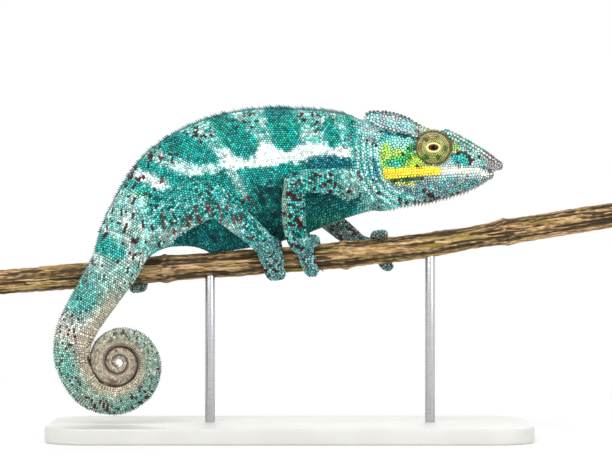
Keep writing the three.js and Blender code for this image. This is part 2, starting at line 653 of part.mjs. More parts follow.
for (const leg of LEGS) {
  const [upper, lower, foot] = legSolids(leg);
  place(`${leg.name}_upper`, upper, FINISHES.skin);
  place(`${leg.name}_lower`, lower, FINISHES.skin);
  place(`${leg.name}_foot`, foot, FINISHES.skin);
}

const rods = STAND.rodX.map((x) => ({ rod: rodSolid(x, 0), room: rodSolid(x, GAP) }));
const clearOfRods = (solid) => rods.reduce((left, { room }) => left.subtract(room), solid);
place('perch', clearOfRods(branchSolid(0)), FINISHES.bark);
place('stand_base', clearOfRods(baseSolid()), FINISHES.board);
rods.forEach(({ rod }, i) => place(`stand_rod_${i + 1}`, rod, FINISHES.steel));

export default chameleon;
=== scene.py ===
"""A life-size display model of a male panther chameleon, still on a cut length of branch over a plain stand.

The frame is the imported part's: the animal faces +X, its right side is -Y, +Z is up and the stand's underside
is at z = 0. Shapes are worked out in millimetres and become metres when a mesh is made.
"""

import logging
import math
from dataclasses import dataclass, field
from enum import Enum, IntEnum

import bmesh
import bpy
import numpy as np
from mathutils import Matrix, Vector
from mathutils.bvhtree import BVHTree
from mathutils.kdtree import KDTree


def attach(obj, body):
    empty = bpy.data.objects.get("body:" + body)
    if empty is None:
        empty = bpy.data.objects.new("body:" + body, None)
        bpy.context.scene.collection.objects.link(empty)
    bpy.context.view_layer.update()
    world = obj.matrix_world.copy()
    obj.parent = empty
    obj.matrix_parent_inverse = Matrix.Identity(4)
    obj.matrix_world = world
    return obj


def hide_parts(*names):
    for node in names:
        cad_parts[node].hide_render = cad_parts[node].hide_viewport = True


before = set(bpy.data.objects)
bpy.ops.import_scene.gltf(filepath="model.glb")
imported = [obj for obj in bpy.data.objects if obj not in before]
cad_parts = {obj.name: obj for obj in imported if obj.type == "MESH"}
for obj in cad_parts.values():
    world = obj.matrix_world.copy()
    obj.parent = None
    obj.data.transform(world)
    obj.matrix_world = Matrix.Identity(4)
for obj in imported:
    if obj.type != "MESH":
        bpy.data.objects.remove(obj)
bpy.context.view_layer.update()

Array = np.ndarray
Pair = tuple[float, float]
Triple = tuple[float, float, float]
Quad = tuple[float, float, float, float]
Row = tuple[float, float, float, float, float]
Socket = bpy.types.NodeSocket

MM = 0.001
TAU = math.tau
BODY = "root"
UV_MAP = "OFBake"
AXIS_Y = np.array([0.0, 1.0, 0.0])
AXIS_Z = np.array([0.0, 0.0, 1.0])
HEADWARD = (-1.0, 0.0, 0.0)
MERGE = 1e-4
FAR = 1e9

log = logging.getLogger("chameleon")


# ---------------------------------------------------------------- numbers


def smooth(low: float, high: float, value: Array) -> Array:
    """A smooth step from 0 at low to 1 at high, which may lie on either side of low."""
    share = np.clip((value - low) / (high - low), 0, 1)
    return share * share * (3 - 2 * share)


def bump(value: Array, centre: float, width: float) -> Array:
    """A round hump of height 1 at the centre, down to a third at a width from it."""
    return np.exp(-(((value - centre) / width) ** 2))


def bent(t: Array, start: Array, end: Array, rise: Array, fall: Array) -> Array:
    """A smooth run from start to end by shares t, with the slopes rise at its start and fall at its end."""
    t2, t3 = t * t, t * t * t
    return (2 * t3 - 3 * t2 + 1) * start + (t3 - 2 * t2 + t) * rise + (3 * t2 - 2 * t3) * end + (t3 - t2) * fall


def between(keys: list[float], index: Array) -> Array:
    """A smooth value through evenly spaced keys.

    Args:
        keys: the values at index 0, 1, 2 and so on.
        index: fractional indexes.

    Returns:
        The value at each index.
    """
    keys = np.asarray(keys, float)
    last = len(keys) - 1
    index = np.clip(np.asarray(index, float), 0, last)
    i = np.minimum(index.astype(int), last - 1)
    a, b, c, d = (keys[np.clip(i + k, 0, last)] for k in (-1, 0, 1, 2))
    return bent(index - i, b, c, (c - a) / 2, (d - b) / 2)


def wander(points: Array, size: float, seed: int) -> Array:
    """A smooth uneven value over space, about -1 to 1.

    Args:
        points: places in millimetres, one a row.
        size: how far apart its humps are, in millimetres.
        seed: which of the many such patterns.

    Returns:
        One value a row.
    """
    rng = np.random.default_rng(seed)
    total = np.zeros(len(points))
    for _ in range(9):
        way = rng.normal(size=3)
        way *= TAU * rng.uniform(0.6, 1.5) / (size * np.linalg.norm(way))
        total += np.sin(points @ way + rng.uniform(0, TAU))
    return np.clip(total / 3.2, -1, 1)


def unit(vectors: Array) -> Array:
    """Vectors, one a row, each made one long."""
    return vectors / np.maximum(np.linalg.norm(vectors, axis=-1, keepdims=True), 1 / FAR)


def squared(vectors: Array, axes: Array) -> Array:
    """Vectors, one a row, made one long and square to an axis each."""
    return unit(vectors - axes * np.sum(vectors * axes, axis=1, keepdims=True))


def run_of(line: Array) -> Array:
    """How far along a line of places each one is."""
    return np.concatenate([[0], np.cumsum(np.linalg.norm(np.diff(line, axis=0), axis=1))])


def paced(line: Array, index: Array, start: float, step: float) -> Array:
    """Station indexes at even steps along a line, from a start, both in millimetres."""
    run = run_of(line)
    return np.interp(np.arange(start, run[-1], step), run, index)


def off_segment(flat: Array, start: Array, end: Array) -> tuple[Array, Array]:
    """Where flat places lie from the straight line between two points.

    Args:
        flat: places in two measures, one a row.
        start: where the line begins.
        end: where it ends.

    Returns:
        How far along it the point nearest to each is, from 0 to 1, and the way from there to each.
    """
    way = end - start
    share = np.clip(((flat - start) @ way) / max(way @ way, 1 / FAR), 0, 1)
    return share, flat - (start + share[:, None] * way)


def tree_of(places: Array) -> KDTree:
    """A tree for finding the nearest of many places.

    Args:
        places: the places.

    Returns:
        The tree, which numbers them by row.
    """
    tree = KDTree(len(places))
    for row, place in enumerate(places.tolist()):
        tree.insert(place, row)
    tree.balance()
    return tree


@dataclass
class Curve:
    """A smooth line through points, read by station index."""

    points: tuple[Triple, ...]

    def __post_init__(self) -> None:
        """Works out the end points and the spacing of the stations."""
        line = np.asarray(self.points, float)
        self.last = len(line) - 1
        self.padded = np.vstack([2 * line[0] - line[1], line, 2 * line[-1] - line[-2]])
        self.gaps = np.sqrt(np.linalg.norm(np.diff(self.padded, axis=0), axis=1))

    def at(self, index: Array) -> Array:
        """Places on the line.

        Args:
            index: fractional station indexes.

        Returns:
            One place for each.
        """
        index = np.clip(np.asarray(index, float), 0, self.last)
        i = np.minimum(index.astype(int), self.last - 1)
        a, b, c, d = (self.padded[i + k] for k in range(4))
        e, f, g = (self.gaps[i + k][..., None] for k in range(3))
        rise = ((b - a) / e - (c - a) / (e + f) + (c - b) / f) * f
        fall = ((c - b) / f - (d - b) / (f + g) + (d - c) / g) * f
        return bent((index - i)[..., None], b, c, rise, fall)

    def along(self, index: Array, reach: float = 1e-3) -> Array:
        """The line's direction at station indexes."""
        index = np.clip(np.asarray(index, float), 0, self.last)
        return unit(self.at(index + reach) - self.at(index - reach))


# ---------------------------------------------------------------- meshes


def lofted(rings: Array) -> bmesh.types.BMesh:
    """A closed skin over rings of points, with each end drawn in to its middle.

    Args:
        rings: places in millimetres, by ring, then round the ring.

    Returns:
        The bmesh, in millimetres.
    """
    ends = [np.repeat(rings[k].mean(0)[None, None], rings.shape[1], 1) for k in (0, -1)]
    rings = np.concatenate([ends[0], rings, ends[1]])
    rings = np.concatenate([rings, rings[:, :1]], axis=1)
    bm = bmesh.new()
    bmesh.ops.create_grid(bm, x_segments=rings.shape[1] - 1, y_segments=rings.shape[0] - 1, size=1)
    for vert, place in zip(bm.verts, rings.reshape(-1, 3)):
        vert.co = place
    bmesh.ops.remove_doubles(bm, verts=bm.verts, dist=MERGE)
    bmesh.ops.recalc_face_normals(bm, faces=bm.faces)
    return bm


def drum(sides: int, foot: float, crown: float, tall: float, at: Triple) -> bmesh.types.BMesh:
    """A closed upright drum.

    Args:
        sides: how many sides it has.
        foot: its radius below.
        crown: its radius above.
        tall: its height.
        at: its middle.

    Returns:
        The bmesh.
    """
    bm = bmesh.new()
    bmesh.ops.create_cone(bm, cap_ends=True, segments=sides, radius1=foot, radius2=crown, depth=tall)
    bmesh.ops.translate(bm, vec=Vector(at), verts=bm.verts)
    return bm


def eased(bm: bmesh.types.BMesh, edges: list[bmesh.types.BMEdge], width: float, segments: int) -> None:
    """Rounds edges of a bmesh over.

    Args:
        bm: the bmesh.
        edges: the edges.
        width: how far back the rounding starts, in millimetres.
        segments: how many facets it has.
    """
    bmesh.ops.bevel(
        bm, geom=edges, offset=width, offset_type="OFFSET", affect="EDGES", segments=segments, profile=0.5,
        material=-1,
    )


def rise_of(edge: bmesh.types.BMEdge) -> float:
    """How much higher one end of an edge is than the other."""
    return abs(edge.verts[0].co.z - edge.verts[1].co.z)


def joined(parts: list[bmesh.types.BMesh], name: str) -> bpy.types.Mesh:
    """One mesh of several bmeshes, each of which is freed.

    Args:
        parts: the bmeshes, in millimetres.
        name: the mesh's name.

    Returns:
        The mesh, in metres.
    """
    whole = bmesh.new()
    for part in parts:
        piece = bpy.data.meshes.new("part")
        part.to_mesh(piece)
        part.free()
        whole.from_mesh(piece)
        bpy.data.meshes.remove(piece)
    bmesh.ops.scale(whole, vec=Vector((MM, MM, MM)), verts=whole.verts)
    mesh = bpy.data.meshes.new(name)
    whole.to_mesh(mesh)
    whole.free()
    return mesh


def object_of(mesh: bpy.types.Mesh) -> bpy.types.Object:
    """A shown, smooth-shaded object at the origin, with its mesh's name.

    Args:
        mesh: the mesh.

    Returns:
        The object.
    """
    mesh.polygons.foreach_set("use_smooth", np.full(len(mesh.polygons), True))
    piece = bpy.data.objects.new(mesh.name, mesh)
    bpy.context.scene.collection.objects.link(piece)
    return piece


def dressed(
    piece: bpy.types.Object, material: bpy.types.Material, nodes: tuple[str, ...] = ()
) -> bpy.types.Object:
    """Gives a piece its finish and its place in the part, and notes it in the log.

    Args:
        piece: the piece.
        material: its finish.
        nodes: the solids that it takes the place of.

    Returns:
        The same piece.
    """
    piece.data.materials.append(material)
    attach(piece, BODY)
    if nodes:
        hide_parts(*nodes)
    log.info("%s: %d faces for %d solids", piece.name, len(piece.data.polygons), len(nodes))
    return piece


def read_rows(items: bpy.types.bpy_prop_collection, name: str, width: int, kind: type = np.float32) -> Array:
    """Reads a field of a mesh's vertices, edges or triangles.

    Args:
        items: the vertices, edges or triangles.
        name: the field.
        width: how many numbers it has.
        kind: their type.

    Returns:
        One row an item.
    """
    flat = np.empty(len(items) * width, kind)
    items.foreach_get(name, flat)
    return flat.reshape(-1, width)


def places_of(mesh: bpy.types.Mesh) -> Array:
    """A mesh's vertices in millimetres, one a row."""
    return read_rows(mesh.vertices, "co", 3).astype(float) / MM


def put_places(mesh: bpy.types.Mesh, places: Array) -> None:
    """Moves a mesh's vertices to places in millimetres, one a row."""
    mesh.vertices.foreach_set("co", (places * MM).astype(np.float32).ravel())
    mesh.update()


def normals_of(mesh: bpy.types.Mesh) -> Array:
    """A mesh's vertex normals, one a row."""
    return read_rows(mesh.vertex_normals, "vector", 3).astype(float)


def relax(mesh: bpy.types.Mesh, pulls: list[float], weight: Array) -> None:
    """Draws a mesh's vertices towards the middle of their neighbours.

    Args:
        mesh: the mesh.
        pulls: how far, once for each pass.
        weight: how much each vertex takes part, from 0 to 1.
    """
    places = places_of(mesh)
    edges = read_rows(mesh.edges, "vertices", 2, np.int32)
    ends, others = np.concatenate([edges, edges[:, ::-1]]).T
    count = np.maximum(np.bincount(ends, minlength=len(places)), 1)
    for pull in pulls:
        mean = np.stack([np.bincount(ends, places[others, k], len(places)) / count for k in range(3)], -1)
        places = places + (mean - places) * (pull * weight)[:, None]
    put_places(mesh, places)


def paint_mesh(mesh: bpy.types.Mesh, name: str, values: Array) -> None:
    """Stores a colour or a number at each vertex.

    Args:
        mesh: the mesh.
        name: the attribute's name, which the material reads.
        values: colours in linear light, three a row, or one number a row.
    """
    if values.ndim == 1:
        mesh.attributes.new(name, "FLOAT", "POINT").data.foreach_set("value", values.astype(np.float32))
        return
    colours = np.ones((len(values), 4), np.float32)
    colours[:, :3] = values
    mesh.attributes.new(name, "FLOAT_COLOR", "POINT").data.foreach_set("color", colours.ravel())


@dataclass
class Stamp:
    """A small closed shape that is repeated many times, each of its corners along one of its turns."""

    points: Array
    faces: Array
    crowns: Array

    def __post_init__(self) -> None:
        """Sorts the corners by the direction that they lie in."""
        angle = np.round(np.arctan2(self.points[:, 1], self.points[:, 0]) % TAU, 4)
        apart = np.hypot(self.points[:, 0], self.points[:, 1]) > MERGE
        self.turns, side = np.unique(angle[apart], return_inverse=True)
        self.side = np.zeros(len(self.points), int)
        self.side[apart] = side

    @classmethod
    def of(cls, bm: bmesh.types.BMesh, dull: float = 0.0) -> "Stamp":
        """Reads the shape from a bmesh, in triangles, and frees it.

        Args:
            bm: the shape.
            dull: how much of the painted light on its top its foot also gets, the rest being painted shade.

        Returns:
            The stamp.
        """
        bmesh.ops.triangulate(bm, faces=bm.faces)
        bmesh.ops.recalc_face_normals(bm, faces=bm.faces)
        bm.verts.index_update()
        points = np.array([v.co[:] for v in bm.verts])
        faces = np.array([[v.index for v in f.verts] for f in bm.faces])
        bm.free()
        height = points[:, 2]
        # Each corner's crown value sets its painted light and shade: painted shade at the foot, painted light
        # at the top.
        return cls(points, faces, dull + (1 - dull) * np.clip(height / height.max(), 0, 1))

    @classmethod
    def pebble(cls, sides: int = 8) -> "Stamp":
        """A low domed scale on z = 0, one from its middle to each corner and one high, closed underneath.

        Args:
            sides: how many corners.

        Returns:
            The scale.
        """
        bm = drum(sides, 1, 0.84, 0.9, (0, 0, 0.15))
        bmesh.ops.poke(bm, faces=[f for f in bm.faces if f.normal.z > 0.9], offset=0.4)
        return cls.of(bm)

    @classmethod
    def shield(cls, sides: int = 8) -> "Stamp":
        """A broad scale of the head, flatter on top than a pebble.

        Args:
            sides: how many corners.

        Returns:
            The scale.
        """
        bm = drum(sides, 1, 0.92, 0.8, (0, 0, 0.1))
        top = [f for f in bm.faces if f.normal.z > 0.9]
        bmesh.ops.inset_region(bm, faces=top, thickness=0.24, depth=0.36, use_even_offset=True)
        bmesh.ops.poke(bm, faces=top, offset=0.12)
        return cls.of(bm, 0.4)

    @classmethod
    def spine(cls) -> "Stamp":
        """A small thorn, one tall and one across its foot, that leans a little to +X.

        Returns:
            The thorn.
        """
        bm = drum(6, 0.5, 0.02, 1, (0, 0, 0.5))
        bmesh.ops.subdivide_edges(bm, edges=[e for e in bm.edges if rise_of(e) > 0.5], cuts=2)
        for v in bm.verts:
            rise = max(v.co.z, 0)
            swell = 1 + 0.35 * math.sin(math.pi * min(rise, 1))
            v.co = Vector((v.co.x * swell + 0.28 * rise * rise, v.co.y * swell, v.co.z))
        return cls.of(bm)


@dataclass
class Plot:
    """Where copies of a stamp stand, one a row.

    Their places and sizes are in millimetres, sizes along the lie, across it and up. Tints are in linear light,
    and spots are the roots' places on the unwrapped skin, from 0 to 1 each way.
    """

    roots: Array
    ways: Array
    normals: Array
    sizes: Array
    tints: Array
    spots: Array


def stamped(name: str, stamp: Stamp, plot: Plot, reach: Array | None = None) -> bpy.types.Object:
    """Many copies of a stamp as one mesh, with their colours and their places on the unwrap.

    Args:
        name: the piece's name.
        stamp: the shape to repeat.
        plot: where the copies stand.
        reach: how far each copy goes along each of the stamp's turns, in place of its first two sizes.

    Returns:
        The shown object, in place.
    """
    normals = unit(plot.normals)
    ways = squared(plot.ways, normals)
    axes = np.stack([ways, np.cross(normals, ways), normals])
    count, per = len(plot.roots), len(stamp.points)
    local = stamp.points[None] * plot.sizes[:, None]
    if reach is not None:
        local[..., :2] = stamp.points[None, :, :2] * reach[:, stamp.side, None]
    places = plot.roots[:, None]
    for k in range(3):
        places = places + local[..., k, None] * axes[k][:, None]
    faces = (stamp.faces[None] + (np.arange(count) * per)[:, None, None]).reshape(-1, 3)
    mesh = bpy.data.meshes.new(name)
    mesh.vertices.add(count * per)
    mesh.loops.add(faces.size)
    mesh.polygons.add(len(faces))
    mesh.loops.foreach_set("vertex_index", faces.astype(np.int32).ravel())
    mesh.polygons.foreach_set("loop_start", np.arange(0, faces.size, 3, dtype=np.int32))
    put_places(mesh, places.reshape(-1, 3))
    mesh.update(calc_edges=True)
    paint_mesh(mesh, "tint", np.repeat(plot.tints, per, axis=0))
    # Pale scales get less painted shade at their foot; the painted light and glint on top are held down for
    # very dark scales and a little for pale ones.
    mean, most = plot.tints.mean(1), plot.tints.max(1)
    floor = 0.85 * smooth(0.3, 0.75, 0.5 * (mean + most))
    ceiling = 0.8 + 0.2 * smooth(0.1, 0.2, most) - 0.1 * smooth(0.3, 0.6, mean)
    crowns = np.clip(np.tile(stamp.crowns, count), np.repeat(floor, per), np.repeat(ceiling, per))
    paint_mesh(mesh, "crown", crowns)
    patch = 0.003 * stamp.points[:, :2] / (2 * np.abs(stamp.points[:, :2]).max())
    uv = (0.002 + 0.996 * np.clip(plot.spots, 0, 1))[:, None] + patch[None]
    layer = mesh.uv_layers.new(name=UV_MAP)
    layer.data.foreach_set("uv", uv.reshape(-1, 2)[faces.ravel()].astype(np.float32).ravel())
    return object_of(mesh)


# ---------------------------------------------------------------- the branch


@dataclass
class Perch:
    """The cut length of branch that the animal holds."""

    half_length: float = 157
    radius: float = 6.1
    knots: tuple[float, ...] = (-70, 19.5, 99.5)
    knot_rise: float = 0.7
    knot_width: float = 3.2
    thin_at: float = 84
    thinner: float = 0.55
    bark_share: float = 0.55
    bark_depth: float = 1.6
    sawn_share: float = 0.98
    rows: int = 430
    sides: int = 84
    line: tuple[Triple, ...] = (
        (-170, 0, 76.6), (-129, 0, 79.8), (-69, 0, 84.8), (-28, 0, 87.8), (9, 0, 90.7), (51, 0, 95.2),
        (93, 0, 101.8), (135, 0, 108.6), (170, 0, 114.4),
    )

    def __post_init__(self) -> None:
        """Tabulates the axis so that it can be read by x."""
        curve = Curve(self.line)
        index = np.linspace(0, curve.last, 2001)
        self.axis = curve.at(index)
        self.slope = curve.along(index)

    def frame_at(self, x: Array) -> tuple[Array, Array, Array]:
        """The branch's axis at an x.

        Args:
            x: places along the branch.

        Returns:
            Its place, its direction and its own upward direction, a row for each x.
        """
        x = np.asarray(x, float)
        at, along = (
            np.stack([np.interp(x, self.axis[:, 0], table[:, k]) for k in range(3)], -1)
            for table in (self.axis, self.slope)
        )
        along = unit(along)
        return at, along, unit(np.cross(along, AXIS_Y))

    def knotted(self, x: Array, width: float) -> Array:
        """How near places along the branch are to a knot, from 0 to 1."""
        return np.max([bump(x, k, width) for k in self.knots], axis=0)

    def radius_at(self, x: Array) -> Array:
        """The branch's mean radius, with its swollen joints.

        Args:
            x: places along the branch.

        Returns:
            The radius at each, in millimetres.
        """
        x = np.asarray(x, float)
        knot = self.knotted(x, self.knot_width)
        thin = self.thinner * bump(x, self.thin_at, 16)
        return self.radius - thin + self.knot_rise * knot + 0.12 * np.sin(x / 7)

    def grip(self, x: Array, angle: Array, out: Array) -> Array:
        """Places round the branch.

        Args:
            x: where along it.
            angle: degrees from its top, 90 on the animal's right.
            out: how far off its mean surface, in millimetres.

        Returns:
            The places.
        """
        at, _, up = self.frame_at(x)
        turn = np.radians(np.asarray(angle, float))[..., None]
        reach = (self.radius_at(x) + out)[..., None]
        return at + up * np.cos(turn) * reach - AXIS_Y * np.sin(turn) * reach

    def relief(self, x: Array, turn: Array) -> Array:
        """How far the bark stands off the mean surface.

        Args:
            x: places along the branch.
            turn: angles round it, in radians.

        Returns:
            The heights in millimetres.
        """
        sheet = np.stack([x / 9, 7 * np.cos(turn), 7 * np.sin(turn)], -1)
        lane, branchlet, fibre, split = (
            wander(sheet * [stretch, 1, 1], size, seed)
            for stretch, size, seed in ((0.5, 5.2, 3), (1.2, 2.6, 4), (2.5, 1.3, 5), (0.7, 3.1, 6))
        )
        groove = smooth(0.04, 0.5, np.abs(lane + 0.6 * branchlet))
        split = smooth(0.86, 1.0, split * 1.1)
        relief = 0.62 * groove + 0.16 * fibre - 0.8 * split + 0.3 * self.knotted(x, 1.1) * fibre - 0.25
        return relief + (0.3 * np.cos(4 * turn + 0.012 * x) - 0.35)

    def build(self, finish: "BarkFinish") -> bpy.types.Object:
        """The branch with its ridges, splits, joints and sawn ends, in its finish.

        Args:
            finish: its finish.

        Returns:
            The piece.
        """
        along_x = np.linspace(-self.half_length, self.half_length, self.rows)
        round_it = np.linspace(0, TAU, self.sides, endpoint=False)
        x, turn = (grid.ravel() for grid in np.meshgrid(along_x, round_it, indexing="ij"))
        at, along, up = self.frame_at(x)
        side = np.cross(along, up)
        reach = (self.radius_at(x) + self.relief(x, turn))[:, None]
        turn = turn[:, None]
        skin = (at + up * np.cos(turn) * reach + side * np.sin(turn) * reach).reshape(self.rows, self.sides, 3)
        skin[..., 0] = np.clip(skin[..., 0], -self.half_length, self.half_length)
        skin[0, :, 0], skin[-1, :, 0] = -self.half_length, self.half_length
        rims = skin[[0, -1]]
        inside = rims + 0.05 * (rims.mean(1, keepdims=True) - rims)
        piece = object_of(joined([lofted(np.concatenate([inside[:1], skin, inside[1:]]))], "perch_bark"))
        self.mark(piece.data)
        return dressed(piece, finish.build(), ("perch",))

    def mark(self, mesh: bpy.types.Mesh) -> None:
        """Stores how deep each point of the branch's mesh lies in the bark and where it was sawn.

        Args:
            mesh: the branch's mesh.
        """
        places = places_of(mesh)
        at, _, _ = self.frame_at(places[:, 0])
        proud = np.linalg.norm(places - at, axis=1) - self.radius_at(places[:, 0])
        paint_mesh(mesh, "depth", np.clip(self.bark_share + proud / self.bark_depth, 0, 1))
        sawn = np.zeros(len(places))
        for side in (-1, 1):
            rows = np.nonzero(places[:, 0] * side > self.half_length - 0.01)[0]
            flat = places[rows] - places[rows].mean(0)
            turn = np.round(np.arctan2(flat[:, 1], flat[:, 2]), 2)
            away = np.hypot(flat[:, 1], flat[:, 2])
            rim = {t: away[turn == t].max() for t in np.unique(turn)}
            sawn[rows] = away < self.sawn_share * np.array([rim[t] for t in turn])
        paint_mesh(mesh, "sawn", sawn)


# ---------------------------------------------------------------- rounded forms of the body


class Form:
    """A rounded solid read by station index and angle: 0 is its back, and 90 degrees its +Y side."""

    name: str
    low: float
    high: float

    def surface(self, index: Array, theta: Array, inset: float = 0.0) -> Array:
        """Places at station indexes and angles in radians, inset by millimetres from the outline."""
        raise NotImplementedError

    def line(self, index: Array, angle: float, inset: float = 0.0) -> Array:
        """Places along the surface at one angle."""
        return self.surface(index, np.full(len(index), angle), inset)

    def rings(self, index: Array, sides: int, inset: float) -> Array:
        """Places by station index, then round the form."""
        grid, theta = np.meshgrid(index, np.linspace(0, TAU, sides, endpoint=False), indexing="ij")
        return self.surface(grid.ravel(), theta.ravel(), inset).reshape(len(index), sides, 3)

    def mesh(self, rows: int, sides: int, inset: float, span: Pair | None = None) -> bmesh.types.BMesh:
        """The form as a closed bmesh of rings, in millimetres, over a span of stations or the whole."""
        return lofted(self.rings(np.linspace(*(span or (self.low, self.high)), rows), sides, inset))


@dataclass(frozen=True)
class Station:
    """A cut across the body: its middle, its reach above, below and aside, its pinch and its crest."""

    at: Triple
    above: float
    below: float
    half: float
    keel: float = 1.0
    crest: float = 0.0


@dataclass(frozen=True)
class Coil:
    """The wound end of the tail."""

    centre: Triple = (-92.7, -16.5, 38.5)
    outer_radius: float = 31.1
    shrink: float = 0.452
    turns: float = 3.3
    steps: int = 8
    width_share: float = 0.262
    room: float = 0.08

    def stations(self) -> list[Station]:
        """The stations from the start of the coil to the tip of the tail.

        Returns:
            The stations.
        """
        made = []
        x, y, z = self.centre
        for i in range(int(self.turns * self.steps) + 1):
            turn = i / self.steps
            outer = self.outer_radius * self.shrink**turn
            inner = self.outer_radius * self.shrink ** (turn + 1) + self.room
            angle, middle, reach = math.pi + TAU * turn, (outer + inner) / 2, (outer - inner) / 2
            at = (x + math.cos(angle) * middle, y, z + math.sin(angle) * middle)
            made.append(Station(at, reach, reach, self.width_share * outer, 1, 0.9 * self.shrink**turn))
        return made


@dataclass
class Spine(Form):
    """Neck, trunk and tail."""

    name: str = "body"
    coil: Coil = Coil()
    tail_start: float = 10.6
    trunk_end: float = 10.0
    stations: tuple[Station, ...] = (
        Station((42, 0, 136.5), 15.5, 21.5, 11, 1, 0),
        Station((31, 0, 136.5), 22, 23.4, 11.4, 1.05, 1.6),
        Station((14.5, 0, 136), 26.8, 27.6, 12.6, 1.12, 2.2),
        Station((-3, 0, 135), 29.2, 33.4, 14.6, 1.15, 2.2),
        Station((-20.5, 0, 134), 30.4, 37.2, 16, 1.15, 2.1),
        Station((-38, 0, 132), 29.6, 38, 16, 1.15, 1.9),
        Station((-54, 0, 128), 27.1, 37, 14.6, 1.14, 1.7),
        Station((-68, -0.5, 121), 23.6, 34, 13, 1.12, 1.5),
        Station((-79.8, -4, 110), 18.4, 21.4, 12, 1.1, 1.3),
        Station((-88.3, -10.5, 97.6), 15.3, 12.8, 11, 1.06, 1.1),
        Station((-94.9, -16, 85.7), 11.9, 12.4, 10.2, 1.03, 1.0),
        Station((-105.9, -17.6, 67.9), 10.4, 10.8, 9.2, 1, 0.9),
        Station((-111.8, -17.4, 58), 9.9, 10.2, 8.8, 1, 0.9),
        Station((-115.1, -17, 48), 9.3, 9.1, 8.4, 1, 0.8),
    )

    def __post_init__(self) -> None:
        """Adds the coil and draws the line through all of it."""
        self.coil_start = len(self.stations)
        self.stations = (*self.stations, *self.coil.stations())
        self.curve = Curve(tuple(s.at for s in self.stations))
        self.low, self.high = 0.0, float(self.curve.last)

    def read(self, key: str, index: Array) -> Array:
        """One of the stations' measures at station indexes."""
        return between([getattr(s, key) for s in self.stations], index)

    def axes(self, index: Array) -> tuple[Array, Array, Array, Array]:
        """The spine's own frame along its length.

        Args:
            index: station indexes.

        Returns:
            Its places and its tailward, side and upward directions, a row for each index.
        """
        at, along = self.curve.at(index), self.curve.along(index)
        side = unit(AXIS_Y - along * (along @ AXIS_Y)[..., None])
        return at, along, side, np.cross(side, along)

    def surface(self, index: Array, theta: Array, inset: float = 0.0) -> Array:
        """Places on the surface of the body.

        Args:
            index: station indexes.
            theta: angles in radians.
            inset: how far inside the outline, in millimetres.

        Returns:
            One place for each pair.
        """
        at, _, side, up = self.axes(index)
        rise, spread = np.cos(theta), np.sin(theta)
        half = self.read("half", index)
        shrink = np.minimum(inset, 0.3 * half)
        reach = np.where(rise > 0, self.read("above", index), self.read("below", index))
        reach = reach - shrink * (1 - self.touching(index, rise))
        half = (half - shrink) * np.abs(spread) ** self.read("keel", index)
        return at + up * (rise * reach)[..., None] + side * (np.sign(spread) * half)[..., None]

    def touching(self, index: Array, rise: Array) -> Array:
        """How much the back, or where rise is below 0 the underside, lies against the next turn, 0 to 1."""
        under = smooth(self.coil_start - 1.2, self.coil_start + 0.4, index) * (rise < 0)
        return under + smooth(self.coil_start + 6.4, self.coil_start + 8, index) * (rise > 0)


@dataclass
class Limb(Form):
    """A round-ended length of limb, whose width runs along an axis and whose thickness is square to it.

    Each station is its x, y, z, half width and half thickness.
    """

    name: str
    stations: tuple[Row, ...]
    width_axis: Triple = (0, 1, 0)

    def __post_init__(self) -> None:
        """Draws the line; one index before and after it are the round ends."""
        self.curve = Curve(tuple(s[:3] for s in self.stations))
        self.low, self.high = -1.0, self.curve.last + 1.0

    def end(self, number: int) -> Array:
        """The place of a station."""
        return np.array(self.stations[number][:3])

    def surface(self, index: Array, theta: Array, inset: float = 0.0) -> Array:
        """Places on the limb.

        Args:
            index: station indexes.
            theta: angles in radians.
            inset: how far inside the outline, in millimetres.

        Returns:
            One place for each pair.
        """
        core = np.clip(index, 0, self.curve.last)
        over = np.radians(90 * np.clip(index - core, -1, 1))
        at, along = self.curve.at(core), self.curve.along(core)
        axis = np.asarray(self.width_axis, float)
        side = unit(axis - along * (along @ axis)[..., None])
        up = np.cross(along, side)
        wide, thick = (between([s[k] for s in self.stations], core) - inset for k in (3, 4))
        at = at + along * (np.minimum(wide, thick) * np.sin(over))[..., None]
        share = np.cos(over)
        at = at + up * (np.cos(theta) * thick * share)[..., None]
        return at + side * (np.sin(theta) * wide * share)[..., None]


@dataclass
class Snout(Form):
    """A box-like round-cornered length of the head; each key is its x, top, bottom and half width."""

    name: str
    keys: tuple[Quad, ...]
    squareness: float
    mouth_side: int
    lip_squareness: float = 0.38
    closing: float = 1.0

    def __post_init__(self) -> None:
        """One index before and after the stations are the round ends."""
        self.xs, self.tops, self.bottoms, self.halves = (list(k) for k in zip(*self.keys))
        self.low, self.high = -1.0, len(self.keys)

    def surface(self, index: Array, theta: Array, inset: float = 0.0) -> Array:
        """Places on the head's surface.

        Args:
            index: station indexes.
            theta: angles in radians.
            inset: how far inside the outline, in millimetres.

        Returns:
            One place for each pair.
        """
        core = np.clip(index, 0, len(self.keys) - 1)
        over = np.clip(index - core, -1, 1)
        reach = np.where(over > 0, self.halves[-1] * 0.62, 1.5)
        share = np.sqrt(np.clip(1 - over * over, 0, 1)) * (1 - 0.28 * np.clip(-over, 0, 1))
        at_mouth = np.sign(np.cos(theta)) == self.mouth_side
        top = between(self.tops, core) - (inset if self.mouth_side < 0 else -self.closing)
        bottom = between(self.bottoms, core) + (inset if self.mouth_side > 0 else -self.closing)
        power = np.where(at_mouth, self.lip_squareness, self.squareness)
        rise, spread = (np.sign(v) * np.abs(v) ** power for v in (np.cos(theta), np.sin(theta)))
        x = between(self.xs, core) + reach * np.sign(over) * np.sin(np.abs(over) * math.pi / 2)
        y = spread * (between(self.halves, core) - inset) * share
        return np.stack([x, y, (top + bottom) / 2 + rise * (top - bottom) / 2 * share], -1)


